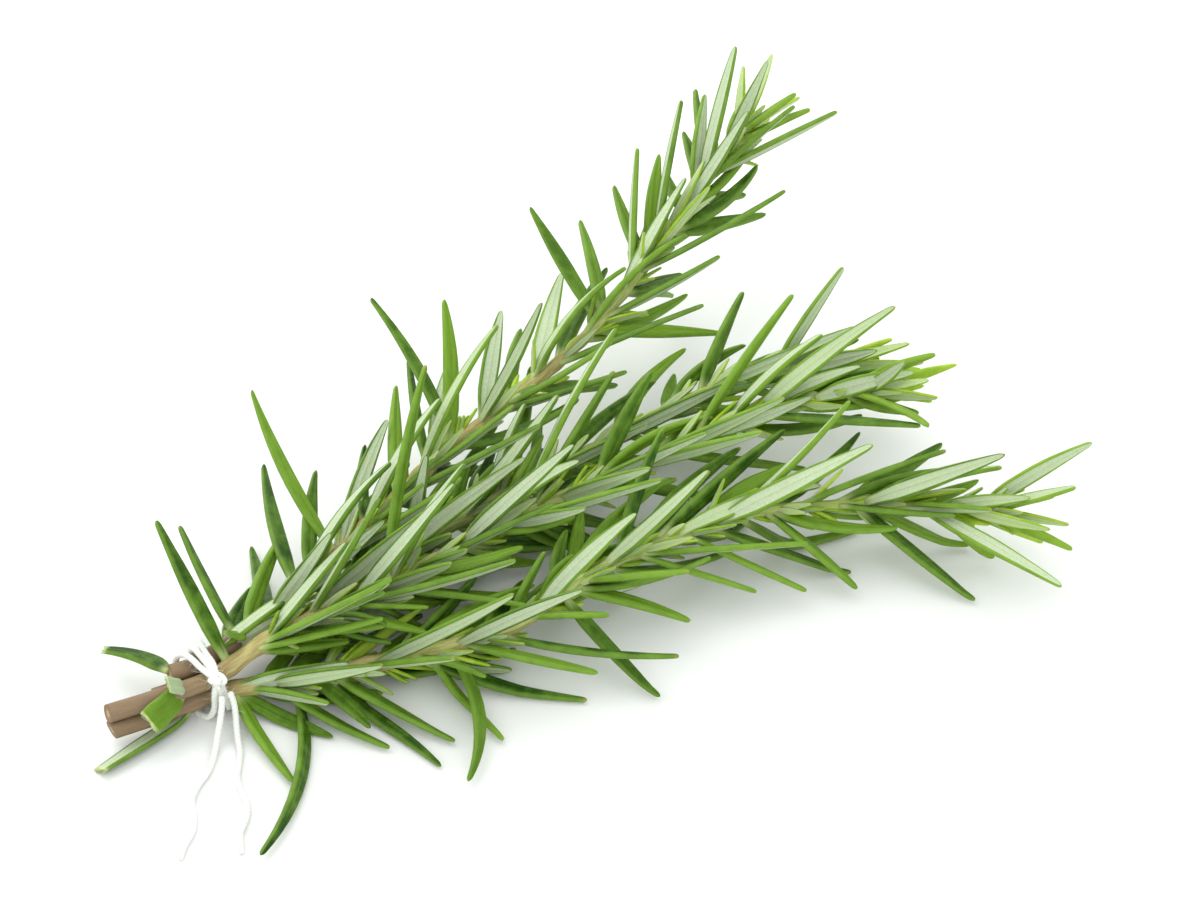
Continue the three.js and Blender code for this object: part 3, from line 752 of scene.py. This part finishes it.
def leaf_shares(cut, young, tip):
    """Where the leaf's rings are, and how far each closes round the tip."""
    if cut:
        shares = np.array(LEAF_SHARES + CUT_SHARES)
        return shares, np.ones(len(shares))
    # The blade stops just short of the tip.
    shares = [share * (1 - tip) / LEAF_SHARES[-1] * 0.999 for share in LEAF_SHARES]
    shares += [1 - tip + tip * sin(angle) for angle in TIP_ANGLES]
    ends = [1] * len(LEAF_SHARES) + [cos(angle) for angle in TIP_ANGLES]
    if young:
        shares, ends = shares[::2] + shares[-1:], ends[::2] + ends[-1:]
    return np.array(shares), np.array(ends)


def leaf_tone(chance, leaf, torn, stem_share):
    """How light its green is, how young it looks, whether it is cut, and one more draw."""
    age = 0
    if leaf.get("young"):
        age = 0.4 + 0.6 * chance.random() if leaf["length"] < 10 else 0.7
    elif not leaf["cut"]:
        age = clamp((stem_share - 0.78) * 1.8, 0, 0.35)
    green = clamp(0.75 * chance.random() + 0.4 * stem_share - 0.05, 0, 1)
    if leaf["cut"] and not torn:
        green *= CUT_GREEN
    return green, age, float(leaf["cut"]), chance.random()


def add_leaf(surface, chance, leaf, line, step, stem_share, turned):
    young = leaf.get("young", False)
    length = step * LEAF_STEPS
    half_width = 0.5 * leaf["width"]
    torn = leaf["cut"] and length < TORN_STUB
    kind = "torn" if torn else "cut" if leaf["cut"] else "whole"
    tip = min(LONGEST_TIP, TIP_ROUNDNESS * half_width / length)
    shares, ends = leaf_shares(leaf["cut"], young, tip)
    middle, along, face, side = smooth_samples(line, shares)
    if turned:
        face, side = -face, -side
    rise = np.clip(shares / FULL_FROM, 0, 1)
    rise = rise * rise * (3 - 2 * rise)
    fall = np.clip((shares - NARROWS_FROM) / (1 - NARROWS_FROM), 0, 1) ** NARROWING
    wave = np.sin(shares * chance.uniform(*EDGE_WAVES) + chance.uniform(0, 6))
    width = half_width * lerp(ROOT_WIDTH, 1, rise) * (1 - NARROWER[kind] * fall)
    width = width * (1 + EDGE_WAVE * wave) * ends
    thick = 0.5 * leaf["thickness"] * lerp(ROOT_THICKNESS, 1, rise) * (1 - THINNER * fall)
    thick = thick * (TORN_THICKNESS if torn else 1) * np.sqrt(ends)
    twist = radians(chance.uniform(-TWIST, TWIST)) * shares
    c, s = np.cos(twist)[:, None], np.sin(twist)[:, None]
    face, side = face * c + side * s, side * c - face * s
    # The groove, rolled margins and midrib die away at both ends.
    depth = (np.clip(shares / 0.08, 0, 1) * np.clip(ends * 1.6 - 0.3, 0, 1))[:, None]
    x, y, felt = leaf_section(young)
    angle = np.arctan2(x, y)
    plain_x, plain_y = PLAIN_SECTION[0] * np.sin(angle), PLAIN_SECTION[1] * np.cos(angle)
    across = (plain_x + (x - plain_x) * depth) * width[:, None]
    up = (plain_y + (y - plain_y) * depth) * thick[:, None]
    rings = middle[:, None] + side[:, None] * across[:, :, None] + face[:, None] * up[:, :, None]
    rings[:, :, 2] = np.maximum(rings[:, :, 2], FLOOR_GAP)
    blade, grain = blank(rings)
    blade[:, :, 0] = PALE_STUB if leaf["cut"] and length < SHORT_STUB else felt * depth
    blade[:, :, 1] = shares[:, None]
    blade[:, :, 2] = np.abs(x)
    tone = leaf_tone(chance, leaf, torn, stem_share)
    end = middle[-1] + along[-1] * TIP_POINT
    if leaf["cut"]:
        ragged = np.array([chance.uniform(-RAGGED, RAGGED) for _ in x])
        rings[-1] += along[-1] * ragged[:, None]
        end = middle[-1]
    grain[:, :, 0] = shares[:, None] * length
    grain[:, :, 1] = x * half_width
    grain[:, :, 2] = chance.uniform(0, 200)
    surface.add(rings, blade, grain, tone, start=middle[0], end=end)


def ring_frame(line, shares):
    """Points, directions, and two crosswise directions that turn as little as they can."""
    points = np.array([line.point(share) for share in shares])
    tangents = np.array([line.tangent(share) for share in shares])
    first = np.cross(tangents[0], (0, 0, 1))
    if np.linalg.norm(first) < 0.1:
        first = np.cross(tangents[0], (1, 0, 0))
    normals = []
    for tangent in tangents:
        first = first - tangent * np.dot(first, tangent)
        first = first / np.linalg.norm(first)
        normals.append(first)
    normals = np.array(normals)
    return points, tangents, normals, np.cross(tangents, normals)


def round_rings(points, first, second, angles, reach):
    c, s = np.cos(angles)[None, :, None], np.sin(angles)[None, :, None]
    return points[:, None] + reach[:, :, None] * (first[:, None] * c + second[:, None] * s)


def add_stem(surface, chance, stem, pairs):
    shares = np.linspace(0, 1, int(stem.length / STEM_RING_GAP) + 1)
    points, tangents, first, second = ring_frame(stem.line, shares)
    places = shares * stem.length
    radii = stem_radius(shares)
    for pair in pairs:
        radii = radii * (1 + SWELLING * np.exp(-((places - pair) / SWELLING_LENGTH) ** 2))
    closing = np.clip((places - stem.length + STEM_TIP) / STEM_TIP, 0, 1)
    radii *= 1 - STEM_TIP_CLOSING * closing ** 2
    angles = np.linspace(0, 2 * np.pi, STEM_SIDES, endpoint=False)
    turn = 0.35 * np.sin(places / 23 + chance.uniform(0, 6))
    square = 1 + SQUARENESS * np.cos(4 * angles[None] + turn[:, None])
    ridges = 1 + RIDGE_HEIGHT * np.sin(RIDGES * angles[None] + places[:, None] * 0.05)
    rings = round_rings(points, first, second, angles, radii[:, None] * square * ridges)
    slant = CUT_SLANT * np.cos(angles + chance.uniform(0, 6))
    rings[0] += tangents[0] * slant[:, None]
    scale, depth = CUT_RINGS.T[:, :, None, None]
    inner = points[0] + (rings[0] - points[0]) * scale + tangents[0] * depth
    rings = np.concatenate([inner, rings])
    cut = len(CUT_RINGS)
    blade, grain = blank(rings)
    blade[cut:, :, 1] = shares[:, None]
    blade[:cut, :, 0] = 1
    blade[:cut, :, 2] = CUT_RINGS[:, :1]
    grain[cut:, :, 0] = places[:, None]
    grain[:, :, 1] = np.cos(angles) * BARK_GRAIN
    grain[:, :, 2] = np.sin(angles) * BARK_GRAIN
    tone = (chance.random(), 0, 0, chance.random())
    centre = points[0] + tangents[0] * CUT_CENTRE
    surface.add(rings, blade, grain, tone, material=1, start=centre, end=points[-1])


def add_yarn(surface, chance, line, radius, closed=False):
    shares = np.linspace(0, 1, int(line.length / YARN_RING_GAP), endpoint=not closed)
    points, _, first, second = ring_frame(line, shares)
    angles = np.linspace(0, 2 * np.pi, YARN_SIDES, endpoint=False)
    turns = line.length / YARN_PITCH
    if closed:
        turns = round(turns * PLIES) / PLIES
    phase = shares * turns * 2 * np.pi + chance.uniform(0, 6)
    turned = angles[None] - phase[:, None]
    ply_and_groove_shade = np.abs(np.cos(0.5 * PLIES * turned))
    reach = radius * np.sqrt(1 - PLY_GROOVE + PLY_GROOVE * ply_and_groove_shade ** 2)
    if not closed:
        reach[[0, 1, -2, -1]] *= np.array(YARN_ENDS)[:, None]
    rings = round_rings(points, first, second, angles, reach)
    rings[:, :, 2] = np.maximum(rings[:, :, 2], YARN_FLOOR_GAP)
    blade, grain = blank(rings)
    # The plies' height also darkens the grooves between them in the colour: painted shade.
    blade[:, :, 0] = ply_and_groove_shade
    grain[:, :, 0] = (shares * line.length)[:, None]
    grain[:, :, 1] = turned * radius
    caps = {} if closed else {"start": points[0], "end": points[-1]}
    surface.add(rings, blade, grain, closed=closed, **caps)


def add_fibres(surface, chance, line, radius, count, longest):
    """Loose cotton fibres that stand off the yarn."""
    corners = 2 * np.pi * np.arange(3) / 3
    c, s = np.cos(corners)[:, None], np.sin(corners)[:, None]
    for _ in range(count):
        share = chance.uniform(0.01, 0.99)
        point, tangent = line.point(share), line.tangent(share)
        out = np.array([chance.gauss(0, 1) for _ in range(3)])
        out -= tangent * np.dot(out, tangent)
        out /= np.linalg.norm(out)
        here = point + out * radius * FIBRE_ROOT
        way = out * chance.uniform(*FIBRE_OUT) + tangent * chance.uniform(*FIBRE_ALONG)
        way /= np.linalg.norm(way)
        reach = chance.uniform(SHORTEST_FIBRE, longest) / FIBRE_STEPS
        bend = np.array([chance.gauss(0, FIBRE_BEND) for _ in range(3)])
        rings = []
        for k in range(FIBRE_STEPS + 1):
            side = np.cross(way, (0.3, 0.5, 0.81))
            side /= np.linalg.norm(side)
            size = FIBRE_RADIUS * (1 - FIBRE_TAPER * k / FIBRE_STEPS)
            rings.append(here + size * (c * side + s * np.cross(way, side)))
            way = way + bend
            way /= np.linalg.norm(way)
            here = here + way * reach
        rings = np.array(rings)
        if rings[:, :, 2].min() >= FLOOR_GAP:
            blade, grain = blank(rings)
            surface.add(rings, blade + 1, grain, start=rings[0].mean(0), end=rings[-1].mean(0))


# --- Materials ---


def linear(rgb):
    """A colour of 0 to 255 as it looks on a screen, as the shaders take it."""
    return tuple(
        c / 12.92 if c <= 0.04045 else ((c + 0.055) / 1.055) ** 2.4 for c in (v / 255 for v in rgb)
    )


class Nodes:
    """Short calls for a material's node tree. A colour is three numbers of 0 to 255."""

    def __init__(self, name):
        self.material = bpy.data.materials.new(name)
        self.material.use_nodes = True
        self.tree = self.material.node_tree
        self.shader = self.tree.nodes["Principled BSDF"]

    def put(self, value, socket):
        if isinstance(value, bpy.types.NodeSocket):
            self.tree.links.new(value, socket)
        elif socket.type == "RGBA" and len(value) == 3:
            socket.default_value = (*linear(value), 1)
        else:
            socket.default_value = value

    def node(self, kind, sockets, **settings):
        """The outputs of a new node, with something put in some of its sockets."""
        made = self.tree.nodes.new(kind)
        for key, value in settings.items():
            setattr(made, key, value)
        for key, value in sockets.items():
            self.put(value, made.inputs[key])
        return made.outputs

    def math(self, operation, a, b):
        return self.node("ShaderNodeMath", {0: a, 1: b}, operation=operation)[0]

    def times(self, a, b):
        return self.math("MULTIPLY", a, b)

    def span(self, value, low, high, to_low=0.0, to_high=1.0):
        """From to_low to to_high, softly, as a value goes from low to high."""
        sockets = dict(enumerate((value, low, high, to_low, to_high)))
        return self.node("ShaderNodeMapRange", sockets, interpolation_type="SMOOTHSTEP")[0]

    def mix(self, share, a, b):
        return self.node("ShaderNodeMix", {0: share, 6: a, 7: b}, data_type="RGBA")[2]

    def tint(self, base, colour, amount, value, low, high):
        """The base with an amount of a colour, as a value goes from low to high."""
        return self.mix(self.times(self.span(value, low, high), amount), base, colour)

    def pattern(self, kind, vector=None, **sockets):
        place = vector or self.node("ShaderNodeTexCoord", {})["Object"]
        return self.node(kind, {"Vector": place, **sockets})[0]

    def noise(self, scale, detail=2.0, roughness=0.5, vector=None):
        return self.pattern(
            "ShaderNodeTexNoise", vector, Scale=scale, Detail=detail, Roughness=roughness,
        )

    def attribute(self, name):
        made = self.node("ShaderNodeAttribute", {}, attribute_name=name)
        return (*self.node("ShaderNodeSeparateColor", {0: made["Color"]}), made["Alpha"])

    def stretched(self, scale):
        """The place in the grain, by its own scale along, across and out."""
        grain = self.node("ShaderNodeAttribute", {}, attribute_name="grain")["Vector"]
        return self.node("ShaderNodeMapping", {"Vector": grain, "Scale": scale})[0]

    def bump(self, height, distance, strength, under=None):
        sockets = {"Height": height, "Distance": distance, "Strength": strength}
        if under is not None:
            sockets["Normal"] = under
        return self.node("ShaderNodeBump", sockets)[0]

    def set(self, **values):
        for key, value in values.items():
            self.put(value, self.shader.inputs[key.replace("_", " ")])


def leaf_material():
    n = Nodes("rosemary_leaf")
    felt, share, across, _ = n.attribute("blade")
    chance, age, cut, other = n.attribute("tone")
    cloud = n.noise(260, 3, 0.6)
    fine = n.noise(2600, 2, 0.6)
    streak = n.noise(1, 2, 0.6, n.stretched((0.35, 3.2, 0.7)))
    # Upper face: deep green with a painted highlight on its margin, turning yellow-green on young
    # leaves.
    deep = n.mix(n.span(chance, 0.15, 0.95), (30, 66, 0), (112, 148, 36))
    deep = n.tint(deep, (110, 148, 46), 0.5, cloud, 0.35, 0.7)
    # Painted highlight: the rolled margin lighter and yellower.
    deep = n.tint(deep, (124, 158, 62), 0.5, across, 0.6, 1.0)
    deep = n.tint(deep, (50, 88, 8), 0.3, streak, 0.4, 0.75)
    fresh = n.mix(n.span(cloud, 0.3, 0.7), (136, 174, 34), (176, 200, 68))
    green = n.mix(n.span(age, 0.1, 1.0), deep, fresh)
    # Underside: pale felt between the rolled margins and the midrib, greener on some leaves.
    pale = n.mix(n.span(fine, 0.2, 0.8), (173, 187, 150), (188, 201, 172))
    pale = n.tint(pale, (164, 184, 128), 0.45, other, 0.55, 1.0)
    pale = n.tint(pale, (196, 212, 136), 0.4, age, 0.2, 1.0)
    colour = n.mix(n.span(felt, 0.15, 0.9), green, pale)
    # Pale foot, the torn edge of a cut leaf, and here and there a dry tip.
    colour = n.tint(colour, (190, 200, 140), 0.75, share, 0.16, 0.0)
    colour = n.tint(colour, (196, 206, 146), n.times(cut, 0.8), share, 0.93, 1.0)
    dry = n.times(n.span(other, 0.6, 0.9), 0.5)
    colour = n.tint(colour, (158, 146, 84), dry, share, 0.955, 1.0)
    pebble = n.pattern("ShaderNodeTexVoronoi", Scale=2300)
    smooth = n.times(n.math("SUBTRACT", 1.0, felt), 0.5)
    relief = n.bump(n.times(pebble, smooth), 0.00016, 0.6)
    relief = n.bump(fine, 0.00006, 0.4, relief)
    relief = n.bump(streak, 0.0001, 0.35, relief)
    n.set(
        Base_Color=colour, Normal=relief, Roughness=n.span(felt, 0.1, 0.7, 0.42, 0.92),
        Specular_IOR_Level=0.16, Subsurface_Weight=0.12, Subsurface_Scale=0.0012,
        Subsurface_Radius=(0.7, 1.0, 0.25),
    )
    return n.material


def bark_material(name, wood_until):
    """Stem: fine brown bark that turns to green skin by a share of its length."""
    n = Nodes(name)
    cut, share, radial, _ = n.attribute("blade")
    fibre = n.noise(1, 4, 0.65, n.stretched((0.28, 2.6, 2.6)))
    fine = n.noise(1, 3, 0.6, n.stretched((1.1, 7.5, 7.5)))
    patch = n.noise(90, 2, 0.5)
    wood = n.mix(n.span(fibre, 0.34, 0.7), (150, 132, 80), (190, 176, 120))
    wood = n.tint(wood, (114, 94, 58), 0.3, fine, 0.5, 0.72)
    wood = n.tint(wood, (162, 164, 94), 0.5, patch, 0.45, 0.7)
    wood = n.tint(wood, (126, 102, 84), 0.85, share, 0.17, 0.08)
    skin = n.mix(n.span(fibre, 0.35, 0.65), (136, 150, 74), (182, 192, 122))
    skin = n.mix(n.span(share, 0.6, 1.0), skin, (160, 182, 88))
    turn = n.math("ADD", share, n.times(n.math("SUBTRACT", patch, 0.5), 0.3))
    body = n.mix(n.span(turn, wood_until - 0.12, wood_until + 0.12), wood, skin)
    # Cut end: pale pith, tan wood and a thin dark rim.
    face = n.mix(n.span(radial, 0.25, 0.5), (188, 168, 132), (140, 114, 84))
    face = n.mix(n.span(radial, 0.8, 0.98), face, (98, 76, 54))
    face = n.mix(n.times(n.noise(2600, 3), 0.3), face, (116, 94, 68))
    relief = n.bump(fine, 0.00008, 0.5, n.bump(fibre, 0.00016, 0.5))
    n.set(
        Base_Color=n.mix(cut, body, face), Normal=relief, Roughness=0.72, Specular_IOR_Level=0.3,
    )
    return n.material


def cotton_material():
    n = Nodes("cotton_thread")
    ply_and_groove_shade, _, _, _ = n.attribute("blade")
    lint = n.noise(1, 3, 0.65, n.stretched((5.5, 1.2, 1.0)))
    soft = n.noise(2400, 3, 0.7)
    # Darker in the grooves between the plies: painted shade.
    yarn = n.mix(n.span(ply_and_groove_shade, 0.1, 0.7), (224, 226, 219), (238, 239, 234))
    yarn = n.tint(yarn, (224, 225, 218), 0.3, lint, 0.45, 0.75)
    relief = n.bump(soft, 0.0001, 0.6, n.bump(lint, 0.00016, 0.8))
    n.set(
        Base_Color=yarn, Normal=relief, Roughness=0.95, Specular_IOR_Level=0.15,
        Sheen_Weight=0.35, Sheen_Roughness=0.6,
    )
    return n.material


def floor_material():
    n = Nodes("pale_floor")
    mottled = n.mix(n.noise(9, 2), *FLOOR_COLOURS)
    n.set(Base_Color=mottled, Roughness=0.85, Specular_IOR_Level=0.2)
    return n.material


# --- The bunch ---

# How many fibres stand off the yarn, and the longest.
END_FIBRES = (90, 1.5)
LOOP_FIBRES = (110, 1.9)
KNOT_FIBRES = (60, 1.9)
KNOT_THREAD = 0.42
KNOT_FIT = 0.96
CORD_STEPS = 40
# By sprig: leaves that thicken the bunch between the stems, which the frame leaves out (how many
# tries, between which azimuths, how far up the stem), by which share of its length the stem has
# turned from bark to skin, and the leaves in SPRIGS whose felt shows from above (place, azimuth).
LOOKS = {
    "sprig_front": ((26, -160, -50, 76), 0.42, [(135, 85), (144.5, -50)]),
    "sprig_inner": ((18, -130, 130, 78), 0.3, [(119, -45)]),
    "sprig_middle": ((30, 50, 190, 84), 0.4, []),
    "sprig_back": (
        (8, 60, 180, 58), 0.6, [(35, -80), (59, -95), (70, -70), (83, -90), (131, -60)],
    ),
}
FILL_LEAF = {"length": (12, 20), "spread": (28, 60), "curl": (-15, 35)}
FILL_WIDTH = (2.2, 2.9)
FILL_THICKNESS = 1.2
FILL_START = 4
FILL_ZONE = 4
# Small leaves in the axils of the long ones, which the frame leaves out too: at most so many each,
# a little further along the stem and round it.
LONG_LEAF = 14
AXIL_TRIES = 3
AXIL_AHEAD = (0.6, 2.4)
AXIL_ROUND = 40
AXIL_LEAF = {
    "length": (4, 9), "spread": (14, 42), "curl": (-10, 16), "roll": (-40, 40), "width": (1.1, 1.7),
}
AXIL_THICKNESS = 0.8
AXIL_START = 2
AXIL_ZONE = 3.6
# Seeds of the draws, to which each sprig or cord adds its number.
SEEDS = {"cords": 300, "tie": 17, "fill": 40, "axils": 70, "skin": 500}


def make_cords():
    cotton = cotton_material()
    for owner, (name, points) in enumerate(TAILS.items()):
        chance = random.Random(SEEDS["cords"] + owner)
        line = Line(points)
        surface = Surface()
        add_yarn(surface, chance, line, THREAD_RADIUS)
        add_fibres(surface, chance, line, THREAD_RADIUS, *END_FIBRES)
        piece = surface.build(name + "_cotton", [cotton])
        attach(piece, "root")
        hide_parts(name)
        path = [tuple(line.point(i / CORD_STEPS) * MM) for i in range(CORD_STEPS + 1)]
    return cotton


def knot_point(angle):
    """A trefoil: an overhand knot whose ends meet."""
    knot = (
        (sin(angle) + 2 * sin(2 * angle)) / 3,
        -sin(3 * angle),
        (cos(angle) - 2 * cos(2 * angle)) / 3,
    )
    sizes = [KNOT_FIT * (size - KNOT_THREAD) for size in KNOT_SIZE]
    return [c + size * v for c, size, v in zip(KNOT_CENTRE, sizes, knot)]


def make_tie(cotton):
    """Three loops round the stems, and a knot where they meet."""
    chance = random.Random(SEEDS["tie"])
    surface = Surface()
    rings = [
        (Ring(lambda angle, fan=fan: loop_point(angle, fan)), THREAD_RADIUS, LOOP_FIBRES)
        for fan in LOOP_FANS
    ]
    for ring, radius, fibres in rings + [(Ring(knot_point), KNOT_THREAD, KNOT_FIBRES)]:
        add_yarn(surface, chance, ring, radius, closed=True)
        add_fibres(surface, chance, ring, radius, *fibres)
    piece = surface.build("thread_tie_cotton", [cotton])
    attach(piece, "root")
    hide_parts("thread_tie")


def fill_leaves(chance, row):
    tries, low, high, until = LOOKS[row["name"]][0]
    leaves = []
    for _ in range(tries):
        leaf = {"azimuth": chance.uniform(low, high), "thickness": FILL_THICKNESS, "cut": False}
        leaf["place"] = chance.uniform(row["first"] - FILL_START, until)
        leaf |= {key: chance.uniform(*limits) for key, limits in FILL_LEAF.items()}
        leaf["roll"] = leaf_roll(leaf["azimuth"], chance.random)
        leaf["width"] = chance.uniform(*FILL_WIDTH)
        leaves.append(leaf)
    return leaves


def axil_leaves(chance, row, stem, grown):
    leaves = []
    for leaf, _, _ in grown:
        if leaf["length"] < LONG_LEAF or leaf["place"] < row["first"] - AXIL_START:
            continue
        for _ in range(chance.randint(0, AXIL_TRIES)):
            small = {"thickness": AXIL_THICKNESS, "cut": False, "young": True}
            small["place"] = min(leaf["place"] + chance.uniform(*AXIL_AHEAD), stem.length - 1)
            small["azimuth"] = leaf["azimuth"] + chance.uniform(-AXIL_ROUND, AXIL_ROUND)
            small |= {key: chance.uniform(*limits) for key, limits in AXIL_LEAF.items()}
            leaves.append(small)
    return leaves


def make_sprigs():
    stems, lines, grow = grow_everything()
    for owner, row in enumerate(SPRIGS):
        grow(owner, fill_leaves(random.Random(SEEDS["fill"] + owner), row), FILL_ZONE)
    for owner, (row, stem) in enumerate(zip(SPRIGS, stems)):
        chance = random.Random(SEEDS["axils"] + owner)
        grow(owner, axil_leaves(chance, row, stem, lines[stem.name]), AXIL_ZONE)
    leaf_skin = leaf_material()
    for owner, stem in enumerate(stems):
        chance = random.Random(SEEDS["skin"] + owner)
        _, wood_until, felt_up = LOOKS[stem.name]
        surface = Surface()
        pairs = [leaf["place"] for leaf, _, _ in lines[stem.name] if leaf["length"] > LONG_LEAF]
        add_stem(surface, chance, stem, sorted(pairs)[::2])
        for leaf, line, step in lines[stem.name]:
            turned = (leaf["place"], leaf["azimuth"]) in felt_up
            add_leaf(surface, chance, leaf, line, step, leaf["place"] / stem.length, turned)
        bark = bark_material("bark_" + stem.name, wood_until)
        piece = surface.build(stem.name + "_growth", [leaf_skin, bark])
        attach(piece, "root")
        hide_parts(stem.name)


# --- Floor and light ---

FLOOR_REACH = 3
FLOOR_COLOURS = ((0.785, 0.79, 0.79, 1), (0.8, 0.8, 0.8, 1))
SKY_COLOUR = (0.97, 1.0, 0.98, 1)
SKY_STRENGTH = 1.36
# Square lights: which way from the picture's middle (right, away, up), how far, how wide, how
# strong, and their colour.
LIGHTS = {
    "key": ((-0.55, 0.75, 1.0), 0.9, 0.8, 3.9, (1.0, 0.985, 0.95)),
    "fill": ((0.7, -0.8, 0.8), 1.2, 0.9, 1.0, (0.99, 0.995, 1.0)),
}


def make_light(name, way, distance, size, power, colour):
    data = bpy.data.lights.new(name, "AREA")
    data.size = size
    data.energy = power
    data.color = colour
    lamp = add_object(name, data)
    right, ahead, up = Vector(way).normalized() * distance
    c, s = cos(VIEW_TURN), sin(VIEW_TURN)
    lamp.location = VIEW_TARGET + Vector((right * c + ahead * s, ahead * c - right * s, up))
    point_at(lamp, VIEW_TARGET - lamp.location)


def make_studio():
    mesh = bpy.data.meshes.new("floor")
    r = FLOOR_REACH
    mesh.from_pydata([(-r, -r, 0), (r, -r, 0), (r, r, 0), (-r, r, 0)], [], [(0, 1, 2, 3)])
    mesh.materials.append(floor_material())
    add_object("floor", mesh)
    world = bpy.data.worlds.new("studio")
    world.use_nodes = True
    background = world.node_tree.nodes["Background"]
    background.inputs["Color"].default_value = SKY_COLOUR
    background.inputs["Strength"].default_value = SKY_STRENGTH
    bpy.context.scene.world = world
    for name, settings in LIGHTS.items():
        make_light(name, *settings)
    bpy.context.scene.view_settings.view_transform = "Standard"


make_camera()
thread_cotton = make_cords()
make_tie(thread_cotton)
make_sprigs()
make_studio()
